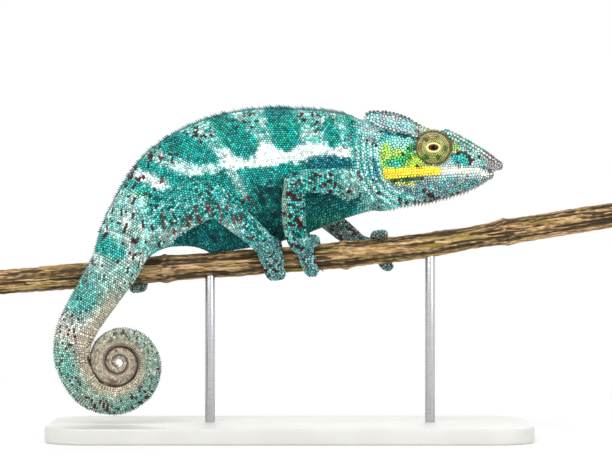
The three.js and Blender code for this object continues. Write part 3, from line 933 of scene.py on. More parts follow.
@dataclass
class Casque(Form):
    """The helmet behind the eyes: a steep roof with a narrow ridge and an overhanging crest along each side.

    Each key is its x, ridge height, side crest height and half width.
    """

    name: str = "casque"
    keys: tuple[Quad, ...] = (
        (29.6, 162.2, 160.6, 1.1), (31.5, 163.2, 159.2, 2.7), (35, 163.6, 156.9, 5.6), (39, 163.5, 155, 8.3),
        (45, 162.4, 153, 11.2), (51, 159.9, 151.3, 12.7), (57, 156.4, 150, 12.9), (63, 154, 149.4, 11.6),
    )

    def __post_init__(self) -> None:
        """Sets the span of the stations."""
        self.low, self.high = 0.0, len(self.keys) - 1.0

    def read(self, index: Array) -> tuple[Array, Array, Array, Array]:
        """The x, ridge height, side crest height and half width at station indexes."""
        return tuple(between([k[c] for k in self.keys], index) for c in range(4))

    def surface(self, index: Array, theta: Array, inset: float = 0.0) -> Array:
        """Places on the helmet.

        Args:
            index: station indexes.
            theta: angles in radians, which run evenly round its outline.
            inset: how far inside the outline, in millimetres.

        Returns:
            One place for each pair.
        """
        x, ridge, crest, half = self.read(index)
        narrow = np.minimum(0.9, half * 0.5)
        lip = np.minimum(1.8, (ridge - crest) * 0.5 + 0.3)
        zero = np.zeros_like(x)
        outline = np.array([
            (zero, ridge), (narrow, ridge), (half * 0.62, crest + (ridge - crest) * 0.4), (half, crest),
            (half, crest - lip), (half * 0.55, crest - 2 * lip), (zero, crest - 2 * lip),
        ])
        around = np.abs((theta + math.pi) % TAU - math.pi) / math.pi * (len(outline) - 1)
        step = np.minimum(around.astype(int), len(outline) - 2)
        t, pick = around - step, np.arange(len(x))
        y, z = (outline[step, k, pick] * (1 - t) + outline[step + 1, k, pick] * t for k in (0, 1))
        sign = np.sign(np.sin(theta) + 1e-12)
        return np.stack([x, sign * np.maximum(y - inset, 0), z - inset * np.cos(theta)], -1)


@dataclass
class Toes(Form):
    """One bundle of grown-together toes bent round the branch.

    Start and end are degrees round it. Each key is a share of the bundle's length, its width and its height.
    """

    name: str
    perch: Perch
    x: float
    drift: float
    start: float
    end: float
    toes: int
    thick: float
    spacing: float
    clear: float = 0.85
    keys: tuple[Triple, ...] = (
        (0, 1, 0.9), (0.2, 1.04, 1), (0.4, 0.97, 0.94), (0.6, 0.89, 0.9), (0.8, 0.81, 0.9), (0.94, 0.7, 0.74),
        (1, 0.38, 0.5),
    )

    def __post_init__(self) -> None:
        """The index runs from 0 at the palm to 1 at the tips of the toes."""
        self.low, self.high = 0.0, 1.0

    def place(self, share: Array, across: Array, out: Array) -> Array:
        """Places in the bundle's own measure.

        Args:
            share: how far along the toes, from 0 to 1.
            across: how far across them, in millimetres.
            out: how far off the branch, in millimetres.

        Returns:
            The places.
        """
        share = np.asarray(share, float)
        x = self.x + self.drift * share + across
        angle = self.start + (self.end - self.start) * share
        return self.perch.grip(x, angle + 0 * x, np.asarray(out, float) + self.clear)

    def surface(self, index: Array, theta: Array, inset: float = 0.0) -> Array:
        """Places on the bundle.

        Args:
            index: station indexes.
            theta: angles in radians, from the back of the toes, away from the branch.
            inset: how far inside the outline, in millimetres.

        Returns:
            One place for each pair.
        """
        shares, *profiles = zip(*self.keys)
        wide, tall = (np.interp(index, shares, profile) for profile in profiles)
        edge = (self.spacing * (self.toes - 1)) / 2 + self.thick * 0.95 - inset
        across = np.sin(theta) * edge
        lobe = np.abs(np.cos(math.pi * (across / self.spacing + (self.toes - 1) / 2)))
        cleft = smooth(0.18, 0.5, index)
        back = self.thick * (1.62 + (0.38 + 0.12 * cleft) * lobe**0.7 - 0.1 * cleft) - inset
        rise, base = np.cos(theta), 0.9 * self.thick
        full = np.abs(rise) ** 0.55
        out = np.where(rise > 0, base + (back - base) * full, base * (1 - full))
        return self.place(index, across * wide, np.maximum(out, inset) * tall)

    def claws(self) -> list[tuple[Array, Array]]:
        """Finds where the claws grow.

        Returns:
            The root and tip of each claw.
        """
        made = []
        for toe in range(self.toes):
            across = (toe - (self.toes - 1) / 2) * self.spacing * 0.94
            root = self.place(np.array(0.93), across * 0.76, self.thick * 1.05)
            made.append((root, self.place(np.array(1.13), across * 0.84, self.thick * 0.35)))
        return made


# ---------------------------------------------------------------- the animal's parts


class Region(IntEnum):
    """Where on the animal a scale grows."""

    HEAD = 0
    TRUNK = 1
    TAIL = 2
    FORE_RIGHT = 3
    HIND_RIGHT = 4
    FORE_LEFT = 5
    HIND_LEFT = 6


@dataclass
class Leg:
    """One leg: upper part, lower part, palm and two bundles of toes on the branch.

    Thigh and shin are stations, as for Limb. The palm runs from the wrist's station to its hold, a place on the
    branch, as for Perch.grip, with a half width and thickness there. Toes are the measures of each bundle.
    """

    region: Region
    perch: Perch
    thigh: tuple[Row, ...]
    shin: tuple[Row, ...]
    wrist: Row
    hold: tuple[Triple, float, float]
    toes: tuple[tuple[float, ...], ...]

    def __post_init__(self) -> None:
        """Builds its forms."""
        place, *reach = self.hold
        grip = self.perch.grip(*(np.array(v) for v in place))
        self.upper, self.lower = Limb("upper", self.thigh), Limb("lower", self.shin)
        self.palm = Limb("palm", (self.wrist, (*grip, *reach)))
        self.bundles = [Toes("toes", self.perch, *measures) for measures in self.toes]

    def forms(self) -> list[Form]:
        """Its rounded forms, from the body outwards."""
        return [self.upper, self.lower, self.palm, *self.bundles]


def legs_on(perch: Perch) -> list[Leg]:
    """The four legs, each with its grip on the branch.

    Args:
        perch: the branch.

    Returns:
        The legs, from front right to rear left.
    """
    return [
        Leg(
            Region.FORE_RIGHT, perch,
            ((22, -9, 127, 6, 7), (13, -16.5, 127.8, 6.2, 6.3), (2, -20.4, 128.3, 5.8, 5.9),
             (-5, -20.6, 128.2, 5.3, 5.4)),
            ((-5.8, -20.4, 127.6, 5.1, 5.4), (-6.2, -19.4, 117, 5.2, 5.9), (-5.6, -16, 106, 4.9, 5.8),
             (-4, -12.6, 98.5, 4.6, 5.4)),
            (-3.8, -12.2, 98, 4.8, 5.4), ((-0.4, 44, 3.6), 4.2, 5.6),
            ((-0.6, 3.2, 40, 158, 2, 2.7, 3.6), (1.2, 4, 50, -140, 3, 2.4, 2.9)),
        ),
        Leg(
            Region.HIND_RIGHT, perch,
            ((-75, -7, 108, 7, 12), (-65, -12.6, 113.4, 6.8, 11.4), (-55, -16.8, 117.4, 6.2, 10.8),
             (-46.5, -18.8, 119.4, 5.6, 9.4)),
            ((-44.6, -18.7, 118.4, 5.4, 7.8), (-35.6, -17.6, 110.6, 5.3, 6.8), (-27, -14.4, 103.2, 4.8, 6.2),
             (-20.9, -12.2, 97.4, 4.6, 5.8)),
            (-20, -12.2, 97, 4.8, 5.8), ((-17.6, 58, 3.6), 4, 6.4),
            ((-17.8, 2.8, 50, 169, 3, 2.6, 3.5), (-17, 4.5, 58, -140, 2, 2.4, 3)),
        ),
        Leg(
            Region.FORE_LEFT, perch,
            ((22, 9, 125.5, 6, 7), (15, 15.5, 122.5, 6, 6.2), (8, 19, 118.8, 5.6, 5.8),
             (3.8, 19.6, 116.2, 5.2, 5.3)),
            ((4, 19.5, 115.6, 5, 5.3), (12, 18.2, 109, 5, 5.6), (20, 15.8, 102.6, 4.6, 5.3),
             (27, 13, 97.4, 4.1, 4.6)),
            (27.6, 12.8, 97, 4.2, 4.4), ((35.5, -82, 3.4), 3.4, 5.2),
            ((36.8, 1, -78, 36, 3, 2.3, 3), (37, 3.6, -100, -206, 2, 2.1, 2.9)),
        ),
        Leg(
            Region.HIND_LEFT, perch,
            ((-75, 5, 109, 7, 10.5), (-69.5, 11.5, 112.4, 6.4, 8.8), (-63.5, 16.6, 113.6, 5.8, 7.2),
             (-58, 19.2, 112.4, 5.3, 6)),
            ((-61, 19.2, 111, 5.2, 5.8), (-71, 18, 105.4, 5, 5.6), (-79, 15.6, 99.2, 4.6, 5.1),
             (-84.5, 13.2, 93, 4.2, 4.7)),
            (-84.8, 13, 92.4, 4.4, 4.8), ((-84, -90, 3.4), 3.6, 5.4),
            ((-82.6, 1, -78, 24, 2, 2.3, 3), (-84.4, -0.6, -104, -196, 3, 2.3, 2.9)),
        ),
    ]


SKULL = (
    (32, 154, 129.2, 8.5), (38, 155.4, 128.5, 13), (46, 155, 128.9, 14.4), (54, 154, 129.9, 13.7),
    (62, 152.8, 130.7, 12), (70, 150.8, 131.3, 10.6), (78, 147.6, 131.9, 9.1), (86, 142.8, 132.5, 7.1),
    (91.5, 138.6, 132.9, 4.8),
)
JAW = (
    (33, 128.3, 114, 9), (38, 128.1, 113.2, 12.6), (46, 128.5, 115.2, 14.1), (54, 129.5, 116.7, 13.3),
    (62, 130.3, 118, 11.7), (70, 130.9, 119.9, 10.1), (78, 131.5, 122.3, 8.4), (86, 132.1, 125.8, 6.3),
    (91, 132.4, 129, 4.2),
)
RIM = (
    (57, -9.6, 151.4, 1.5, 1.5), (64, -9.4, 152, 1.7, 1.7), (71, -9, 151.8, 1.8, 1.8),
    (79, -8, 147.9, 1.8, 1.8), (87, -6.6, 143.1, 1.8, 1.9), (93, -4.8, 138.7, 1.8, 1.9), (96.6, 0, 136, 2, 1.9),
)
BOTH_RIMS = (*RIM, *((x, -y, *more) for x, y, *more in RIM[-2::-1]))
SHOVEL = (
    (58, 0, 151.6, 9.4, 2.6), (66, 0, 150.9, 9.2, 2.6), (74, 0, 148.6, 8.6, 2.6), (82, 0, 144.5, 7.4, 2.4),
    (89, 0, 140.1, 5.8, 2.2), (94.8, 0, 136.6, 3.4, 1.9),
)


@dataclass
class Head:
    """The bones and flesh of the head, without its eyes, and the raised rim that runs over both of them."""

    skull: Form = field(default_factory=lambda: Snout("skull", SKULL, 0.8, -1))
    jaw: Form = field(default_factory=lambda: Snout("jaw", JAW, 0.78, 1))
    casque: Form = field(default_factory=Casque)
    rims: Form = field(default_factory=lambda: Limb("rims", BOTH_RIMS, (0, 0, 1)))
    shovel: Form = field(default_factory=lambda: Limb("shovel", SHOVEL))
    mouth: tuple[Pair, ...] = ((38, 128.4), (41, 129), (54, 130.1), (66.5, 131.2), (92, 132.8), (98, 133.2))
    side_crest: tuple[Pair, ...] = ((30, 160), (35, 156.9), (45, 153), (51, 151.3), (57, 150.4), (60, 150.2))
    eye: Triple = (63, 8.4, 144.8)
    nostril: Pair = (86, 140.6)

    def forms(self) -> list[Form]:
        """The head's rounded forms."""
        return [self.skull, self.jaw, self.casque, self.rims, self.shovel]

    def mouth_at(self, x: Array) -> Array:
        """The height of the mouth's line at an x."""
        return np.interp(x, *zip(*self.mouth))

    def crest_at(self, x: Array) -> Array:
        """The height of the helmet's side crest at an x."""
        return np.interp(x, *zip(*self.side_crest))

    def from_eye(self, places: Array) -> Array:
        """How far places lie from the axis of the nearer eye, in millimetres."""
        return np.hypot(places[:, 0] - self.eye[0], (places[:, 2] - self.eye[2]) / 0.94)

    def clear_of_eye(self, places: Array) -> Array:
        """Which places are outside the turrets or on the brow over them."""
        y, z = np.abs(places[:, 1]), places[:, 2]
        return (self.from_eye(places) > 9.4) | (y < 4.5) | ((z > 147) & (y < 10.5))


# ---------------------------------------------------------------- the skin


@dataclass
class Hide:
    """The one skin over head, neck, trunk, tail and legs, inside the outline by the depth of the scales."""

    spine: Spine
    head: Head
    legs: list[Leg]
    depth: float = 0.42
    foot_depth: float = 0.3
    rim_depth: float = 0.2
    voxel: float = 0.9
    flesh_span: Pair = (0.2, 11.6)
    body_grid: tuple[int, int] = (170, 90)
    head_grid: tuple[int, int] = (64, 60)
    limb_grid: tuple[int, int] = (40, 40)
    toe_grid: tuple[int, int] = (46, 60)
    tail_rows: int = 300
    tail_sides: int = 68
    tail_overlap: float = 0.04
    mouth_groove: float = 0.75
    lip_roll: float = 0.22
    nostril_rim: float = 0.45
    nostril_hole: float = 1.3
    brow: float = 0.5
    socket_groove: float = 0.55
    socket_sunk: float = 2.6
    neck_fold: float = 0.55
    neck_pitch: float = 3.1
    crest_edge: float = 0.5
    crest_groove: float = 0.35
    pleat: float = 0.2
    pleat_pitch: float = 2.1
    crease: float = 0.14
    crease_pitch: float = 1.9
    cheek_edge: tuple[Pair, ...] = (
        (37, 158), (36.2, 152), (35.8, 146), (36.3, 138), (38, 131.5), (41.5, 126.2), (46.5, 122.8),
        (54, 120.6), (62, 119.2),
    )

    def behind_cheek(self, places: Array) -> Array:
        """How far places lie behind and below the cheek's rear edge.

        Args:
            places: places in millimetres.

        Returns:
            The distance in millimetres, negative ahead of the edge.
        """
        flat = places[:, [0, 2]]
        best, signed = np.full(len(flat), FAR), np.zeros(len(flat))
        edge = np.array(self.cheek_edge)
        for a, b in zip(edge[:-1], edge[1:]):
            x, z = off_segment(flat, a, b)[1].T
            away = np.hypot(x, z)
            sign = np.sign((b - a)[0] * z - (b - a)[1] * x)
            nearer = away < best
            best, signed = np.where(nearer, away, best), np.where(nearer, -sign * away, signed)
        return signed

    def fold_wave(self, away: Array) -> Array:
        """The folds of the neck, from -1 in a groove to 1 on a fold, by how far behind the cheek."""
        return np.cos(TAU * (away - 1.2) / self.neck_pitch)

    def flesh(self) -> bpy.types.Mesh:
        """All the forms but the thin tail, grown together into one closed skin.

        Returns:
            The skin's mesh, without folds.
        """
        parts = [self.spine.mesh(*self.body_grid, self.depth, self.flesh_span)]
        for form in self.head.forms():
            parts.append(form.mesh(*self.head_grid, self.rim_depth if form is self.head.rims else self.depth))
        for form in (form for leg in self.legs for form in leg.forms()):
            toes = isinstance(form, Toes)
            grid, inset = (self.toe_grid, self.foot_depth) if toes else (self.limb_grid, self.depth)
            parts.append(form.mesh(*grid, inset))
        rough = object_of(joined(parts, "flesh"))
        remesh = rough.modifiers.new("grow_together", "REMESH")
        remesh.mode = "VOXEL"
        remesh.voxel_size = self.voxel * MM
        graph = bpy.context.evaluated_depsgraph_get()
        mesh = bpy.data.meshes.new_from_object(rough.evaluated_get(graph))
        bpy.data.objects.remove(rough)
        return mesh

    def blend_joints(self, mesh: bpy.types.Mesh) -> None:
        """Smooths the places where the legs and the head leave the body.

        Args:
            mesh: the skin.
        """
        places = places_of(mesh)
        soft = np.zeros(len(places))
        for leg in self.legs:
            for spot, reach in ((leg.upper.end(0), 17), (leg.upper.end(-1), 8), (leg.palm.end(0), 6)):
                soft = np.maximum(soft, smooth(reach, reach * 0.6, np.linalg.norm(places - spot, axis=1)))
        nape = smooth(9, 3, np.abs(places[:, 0] - 33)) * smooth(154, 148, places[:, 2])
        relax(mesh, [0.5] * 16, np.maximum(soft, nape))

    def fold(self, mesh: bpy.types.Mesh) -> None:
        """Presses the mouth, nostrils, eye sockets, neck folds and throat pleats into the skin.

        Args:
            mesh: the skin.
        """
        places, normals = places_of(mesh), normals_of(mesh)
        x, y, z = places.T
        head = self.head
        mouth = z - head.mouth_at(x)
        push = -self.mouth_groove * bump(mouth, 0, 0.6) * smooth(40, 44, x) * smooth(97, 94, x)
        push += self.lip_roll * bump(mouth, 1.7, 1.1) * smooth(37, 41, x)
        nose = np.hypot(x - head.nostril[0], z - head.nostril[1])
        nostril = self.nostril_rim * bump(nose, 1.7, 0.7) - self.nostril_hole * bump(nose, 0, 0.8)
        push += nostril * (np.abs(y) > 2.5)
        ring = head.from_eye(places)
        aside = smooth(5, 7.5, np.abs(y)) * (x > 48) * (z > 132)
        push += aside * (self.brow * bump(ring, 11.2, 0.9) - self.socket_groove * bump(ring, 9.7, 0.8))
        y = y - np.sign(y) * self.socket_sunk * smooth(9.4, 7.2, ring) * aside
        away = self.behind_cheek(places)
        folds = smooth(-1.2, 0.2, away) * smooth(13, 9, away) * smooth(153, 147, z) * smooth(113, 117, z)
        push += self.neck_fold * folds * self.fold_wave(away)
        crest = head.crest_at(x)
        side_crest = smooth(30, 32, x) * smooth(60, 55, x) * (np.abs(y) > 1.5)
        edge = self.crest_edge * bump(z, crest, 0.9) - self.crest_groove * bump(z, crest - 2.4, 1.0)
        push += side_crest * edge
        throat = smooth(46, 52, x) * smooth(90, 84, x) * smooth(125, 121, z)
        push += self.pleat * throat * np.sin(TAU * (z + 0.24 * (90 - x)) / self.pleat_pitch)
        for leg in self.legs:
            for spot, reach in ((leg.upper.end(-1), 6.5), (leg.palm.end(0), 5)):
                off = places - spot
                near = smooth(reach, reach * 0.5, np.linalg.norm(off, axis=1))
                push += self.crease * near * np.sin(TAU * (off[:, 0] * 0.4 + off[:, 2]) / self.crease_pitch)
        put_places(mesh, np.stack([x, y, z], -1) + normals * push[:, None])

    def stitch_tail(self, mesh: bpy.types.Mesh) -> bpy.types.Mesh:
        """Cuts the rough end off and sews the fine coiled tail to the cut.

        Args:
            mesh: the skin so far, which is removed.

        Returns:
            The whole skin.
        """
        start, end = self.spine.tail_start, self.spine.high
        at, along, _, _ = self.spine.axes(np.array(start))
        first = start + self.tail_overlap
        bm = bmesh.new()
        bm.from_mesh(mesh)
        bpy.data.meshes.remove(mesh)
        geometry = [*bm.verts, *bm.edges, *bm.faces]
        bmesh.ops.bisect_plane(
            bm, geom=geometry, plane_co=Vector(at * MM), plane_no=Vector(along), clear_outer=True, dist=1e-6
        )
        index = first + (end - start - self.tail_overlap) * np.linspace(0, 1, self.tail_rows) ** 0.93
        rings = self.spine.rings(index, self.tail_sides, self.depth)
        tail = lofted(rings)
        middle = Vector(rings[0].mean(0))
        bmesh.ops.delete(tail, geom=[v for v in tail.verts if (v.co - middle).length < 1e-3], context="VERTS")
        part = joined([tail], "tail")
        bm.from_mesh(part)
        bpy.data.meshes.remove(part)
        bmesh.ops.bridge_loops(bm, edges=[e for e in bm.edges if e.is_boundary])
        bmesh.ops.recalc_face_normals(bm, faces=bm.faces)
        whole = bpy.data.meshes.new("skin")
        bm.to_mesh(whole)
        bm.free()
        return whole

    def build(self) -> bpy.types.Mesh:
        """Makes the skin, still without its colours.

        Returns:
            The skin's mesh.
        """
        mesh = self.flesh()
        relax(mesh, [0.6, -0.5] * 3, np.ones(len(mesh.vertices)))
        self.blend_joints(mesh)
        self.fold(mesh)
        return self.stitch_tail(mesh)


# ---------------------------------------------------------------- markings


def ink(red: int, green: int, blue: int) -> Array:
    """A colour as a maker mixes it, each part from 0 to 255."""
    return np.array([red, green, blue]) / 255.0


class Ink(Enum):
    """The colours of the animal."""

    TURQUOISE = (10, 157, 147)
    BRIGHT_TURQUOISE = (52, 188, 178)
    MINT = (118, 194, 186)
    PALE = (184, 208, 202)
    WHITE = (232, 243, 240)
    TEAL = (2, 150, 143)
    EMERALD = (18, 168, 138)
    DEEP_TEAL = (2, 96, 104)
    NIGHT = (4, 44, 50)
    BLUE_TEAL = (10, 118, 132)
    SLATE = (98, 128, 134)
    MAROON = (74, 10, 10)
    RED = (128, 26, 20)
    BEIGE = (198, 182, 158)
    CREAM = (240, 232, 214)
    YELLOW = (252, 222, 52)
    ORANGE = (246, 192, 24)
    LIME = (152, 192, 48)
    GREEN = (22, 150, 70)
    DARK_GREEN = (22, 84, 50)
    LILAC = (184, 164, 168)
    OLIVE = (196, 188, 112)
    DARK_OLIVE = (104, 98, 52)
    UMBER = (62, 44, 40)

    @property
    def rgb(self) -> Array:
        """The colour as three numbers from 0 to 1."""
        return ink(*self.value)


def linear(colour: Array) -> Array:
    """Colours as mixed, turned to linear light."""
    colour = np.clip(colour, 0, 1)
    return np.where(colour <= 0.04045, colour / 12.92, ((colour + 0.055) / 1.055) ** 2.4)


@dataclass(frozen=True)
class Streak:
    """A mark laid along a path over the side of the animal: each key is x, z and the mark's half width."""

    tone: Ink
    keys: tuple[Triple, ...]
    strength: float = 1.0
    edge: float = 0.5

    def cover(self, x: Array, z: Array) -> Array:
        """How strongly the mark covers places.

        Args:
            x: places along the animal.
            z: heights.

        Returns:
            From 0 to the mark's strength.
        """
        flat = np.stack([x, z], -1)
        keys = np.array(self.keys if len(self.keys) > 1 else self.keys * 2)
        nearest = np.full(len(flat), FAR)
        for a, b in zip(keys[:-1], keys[1:]):
            share, off = off_segment(flat, a[:2], b[:2])
            nearest = np.minimum(nearest, np.hypot(*off.T) - (a[2] + share * (b[2] - a[2])))
        return self.strength * smooth(self.edge, -self.edge, nearest)


def dots(tone: Ink, radius: float, *places: Pair, strength: float = 1.0) -> list[Streak]:
    """Round spots of one colour and size, each at its x and z."""
    return [Streak(tone, ((x, z, radius),), strength, 0.35) for x, z in places]


FLANK_MARKS: list[Streak] = [
    Streak(Ink.PALE, ((24, 131, 4), (27, 127, 4)), 0.9, 2.0),
    Streak(Ink.PALE, ((31, 157, 3), (31, 148, 3), (29, 141, 2)), 0.7, 2.4),
    Streak(Ink.TEAL, ((-13, 168, 8), (-12, 158, 7.2), (-10, 150, 6.4), (-9.5, 145, 2.4)), 0.95, 1.1),
    Streak(Ink.DEEP_TEAL, ((-14, 167, 5), (-12.5, 160, 4.2), (-11, 154, 2.4)), 0.85, 2.4),
    Streak(Ink.TEAL, ((-47, 164, 5.5), (-41, 157, 5.4), (-36, 151, 6.4), (-30.5, 146, 7),
        (-29.5, 141.5, 2.6)), 0.95, 1.1),
    Streak(Ink.DEEP_TEAL, ((-47, 163, 4.4), (-41.5, 157, 3.4), (-37, 152, 2.2)), 0.85, 2.2),
    Streak(Ink.TEAL, ((-72, 150, 5.4), (-62, 145.5, 6.2), (-52, 141.5, 5.4), (-46, 139.5, 2.6)), 0.92, 1.3),
    Streak(Ink.DEEP_TEAL, ((-71, 151, 3.4), (-63, 147, 2.6)), 0.7, 2.4),
    Streak(Ink.TEAL, ((11.5, 159, 1.6), (12.5, 153, 4), (13, 148.5, 3.2), (13, 145.6, 1)), 0.92, 0.8),
    Streak(Ink.TEAL, ((21.5, 163, 2.2), (22.5, 152, 1.2), (25, 147, 1.6), (28, 142.5, 0.9)), 0.9, 0.7),
    Streak(Ink.TURQUOISE, ((21.5, 148, 0.6), (25, 141.5, 1.0), (29.5, 134.5, 0.7)), 0.8, 0.6),
    Streak(Ink.BLUE_TEAL, ((4, 137.2, 3.2), (13, 137, 4.0), (21, 134.8, 3.6), (27.4, 132.6, 1.6)), 0.95, 0.9),
    Streak(Ink.DEEP_TEAL, ((12, 137.4, 1.4), (22, 134.6, 1.4)), 0.5, 1.8),
    Streak(Ink.PALE, ((-38, 134, 2.2), (-34, 128, 2.6), (-31, 121.5, 2.0)), 0.8, 1.4),
    Streak(Ink.TEAL, ((-86, 139, 2.6), (-75, 134.6, 2.4), (-65, 130, 2.2), (-55, 127, 2.0)), 0.9, 1.0),
    Streak(Ink.WHITE, ((-84, 131.5, 1.8), (-75, 128, 2.2), (-64, 120.5, 1.8)), 0.85, 1.0),
    Streak(Ink.TURQUOISE, ((-94, 128, 2.4), (-84, 125.4, 2.6), (-70, 117.6, 2.4)), 0.85, 1.4),
    Streak(Ink.LIME, ((-84, 122.4, 1.2), (-79, 120.5, 0.8)), 0.2, 2.0),
    Streak(Ink.TEAL, ((-105, 101, 4), (-100, 97, 5), (-93, 93, 4)), 0.75, 2.0),
    *dots(Ink.MAROON, 0.75, (-31, 161.5), (-27, 161), (-35, 158.5), (-35, 155), (-26.5, 155),
          (-29.5, 152.5), (-2.5, 161.5), (3, 161.5), (5, 157), (5, 153.3), (-50, 153.5), (-56, 152),
          (-46, 151), (-53, 148), (-60, 152), (14, 159.2), (21.4, 155.4), (24, 157.5)),
    *dots(Ink.MAROON, 1.05, (-31, 157.5), (-25, 158), (6.5, 161), (-1, 159), (-54, 155), (-55, 151.5),
          (-50, 150.5)),
    *dots(Ink.MAROON, 0.85, (-73, 145), (-75, 143.5), (-77, 142), (-67, 144), (-67, 141), (-64, 141),
          (-78, 140.5), (-72, 140), (-66.5, 138), (-85, 134.5), (-86, 132.5), (-88, 131), (-81, 130.5),
          (-84, 129.5), strength=0.9),
    *dots(Ink.RED, 1.1, (-31, 117.6), (-28, 120.2), (-27, 117), (-24, 115), (-29, 112.8), strength=0.95),
]

NECK_MARKS: list[Streak] = [
    Streak(Ink.BLUE_TEAL, ((34, 138, 1.3), (34.6, 133, 1.6), (37, 128, 1.2)), 0.75, 1.2),
    *dots(Ink.MAROON, 0.7, (32.2, 124.5), (35.5, 122.6), (30.8, 149), (34, 147.6), (38.6, 127.4),
          (39.6, 123.2), (33.4, 129.7), (36.2, 129.4)),
]

HEAD_MARKS: list[Streak] = [
    Streak(Ink.MINT, ((41, 149, 3), (48, 146, 4), (53, 146.5, 2)), 0.8, 2.0),
    Streak(Ink.TURQUOISE, ((38.5, 150, 1.2), (42, 151.4, 1.2), (47, 151.6, 0.8)), 0.85, 0.9),
    Streak(Ink.LIME, ((39.6, 145.5, 1.4), (39.4, 141, 1.8), (40.6, 137, 2.0)), 0.9, 1.4),
    Streak(Ink.LIME, ((47, 141, 3), (53, 138, 4), (57, 135.5, 2)), 0.95, 1.6),
    Streak(Ink.YELLOW, ((45.5, 141, 1.6), (47.5, 140, 1.2)), 0.7, 1.2),
    Streak(Ink.GREEN, ((52, 145, 1.5), (50.5, 141.5, 2.0), (45.5, 137.5, 3.0), (41, 136.5, 2.0)), 0.95, 1.2),
    Streak(Ink.TEAL, ((42, 137, 1.2), (46.5, 136.6, 1.6)), 0.75, 1.2),
    Streak(Ink.GREEN, ((56.5, 134.8, 0.8), (59, 134.8, 0.4)), 0.8, 0.8),
    Streak(Ink.MAROON, ((47.6, 141.2, 0.5), (48.5, 143.2, 0.5)), 0.95, 0.4),
    Streak(Ink.MAROON, ((50.2, 139, 0.5), (52.2, 140.2, 0.45)), 0.95, 0.4),
    Streak(Ink.MAROON, ((50.6, 144.4, 0.4), (51.4, 143.6, 0.4)), 0.9, 0.4),
    Streak(Ink.MAROON, ((54.8, 136.8, 0.4), (55.4, 135.4, 0.4), (57, 134.8, 0.3)), 0.9, 0.4),
    Streak(Ink.ORANGE, ((40.2, 131.2, 2.2), (46, 131.8, 2.3), (53, 132.6, 2.0), (60, 133.4, 1.7),
        (66, 133.4, 1.2)), 0.9, 0.8),
    Streak(Ink.YELLOW, ((39.6, 133.8, 1.0), (47, 133.6, 1.3), (54, 134, 1.2), (60, 134.6, 0.9),
        (67, 134.3, 0.7)), 0.9, 0.8),
    Streak(Ink.YELLOW, ((40.5, 130, 1.0), (47, 130.8, 1.1), (57, 132, 1.0), (66, 132.5, 0.8)), 0.9, 0.7),
    Streak(Ink.CREAM, ((68, 133.3, 1.3), (76, 133.9, 1.3), (84, 133.8, 1.0), (91, 131.8, 0.9)), 0.95, 0.8),
    Streak(Ink.DARK_GREEN, ((42, 128.2, 0.9), (49, 128.8, 1.3), (56, 129.6, 1.2)), 0.9, 0.9),
    Streak(Ink.YELLOW, ((44.6, 126.8, 0.5), (49, 127, 0.7), (53.5, 126.6, 0.8)), 0.7, 0.8),
    Streak(Ink.MAROON, ((56.6, 130, 0.4), (58, 129.2, 0.4)), 0.9, 0.4),
    Streak(Ink.LIME, ((73.4, 146.6, 1.2), (75, 143.6, 1.2)), 0.8, 1.4),
    Streak(Ink.TURQUOISE, ((74.5, 139.5, 2.4), (78.5, 139.5, 3.2), (80.5, 137, 1.6)), 0.95, 0.8),
    Streak(Ink.MAROON, ((72.8, 141.2, 0.4), (75.6, 142.6, 0.5), (78.8, 142.8, 0.45), (80.6, 141, 0.5),
        (82.2, 137.4, 0.5), (80.6, 135.8, 0.4), (76, 135.8, 0.4)), 0.9, 0.4),
    Streak(Ink.MAROON, ((74.4, 138, 0.4), (74.9, 137, 0.4)), 0.9, 0.4),
    Streak(Ink.NIGHT, ((86, 135.2, 0.5), (92, 133.8, 0.7)), 0.6, 0.8),
    Streak(Ink.DEEP_TEAL, ((31.5, 157.4, 0.5), (36, 155.2, 0.6), (44, 152.6, 0.5), (51, 151, 0.4)), 0.6, 0.7),
    # Painted shade in the groove behind the eye turret.
    Streak(Ink.NIGHT, ((53.6, 147.6, 0.4), (53, 143.8, 0.4), (54.4, 140, 0.3)), 0.5, 0.5),
    *dots(Ink.TEAL, 0.9, (37.4, 149), (38.6, 152.6), (45, 150.8), (84.4, 139), (81.8, 143.2), (77, 146.8),
          (88, 137.2), strength=0.75),
    Streak(Ink.MAROON, ((55, 153, 0.6), (56.2, 152.2, 0.6)), 0.9, 0.5),
    # Painted shade under the overhang of the helmet's side crest.
    Streak(Ink.NIGHT, ((36, 153.2, 0.5), (44, 151.2, 0.6), (52, 150.2, 0.5), (54, 149, 0.4)), 0.85, 0.5),
    Streak(Ink.TEAL, ((31, 158, 0.6), (33.4, 154.5, 0.8), (32.8, 149, 0.6)), 0.8, 0.8),
    *dots(Ink.TEAL, 1.15, (67.5, 128.2), (71, 129), (62, 125.2), (60.4, 122), (68, 124.6), (83, 128),
          (64, 121.4), (75, 126), (57, 124.4), (49, 121.5), (46, 120.6), (73, 123), (79, 126),
          strength=0.8),
    *dots(Ink.MAROON, 0.85, (58.2, 123.6), (60.6, 121.6), (62.5, 121), (59, 118.6), (62, 118.6),
          (46, 119.2), (47, 117.6), (50, 117.7), (54.2, 118), (56, 117.6), (66, 120.4), (69, 120.2),
          (73, 121.6), (64, 119.8), (45, 128.2), (55, 124), (76, 122.4), strength=0.92),
    *dots(Ink.MAROON, 0.45, (70.5, 150.4), (73.4, 149), (76, 147), (81, 141), (83.5, 138.6), (79.4, 146.2),
          (54.4, 150), (72.5, 145.8), (80, 131.2), strength=0.85),
]

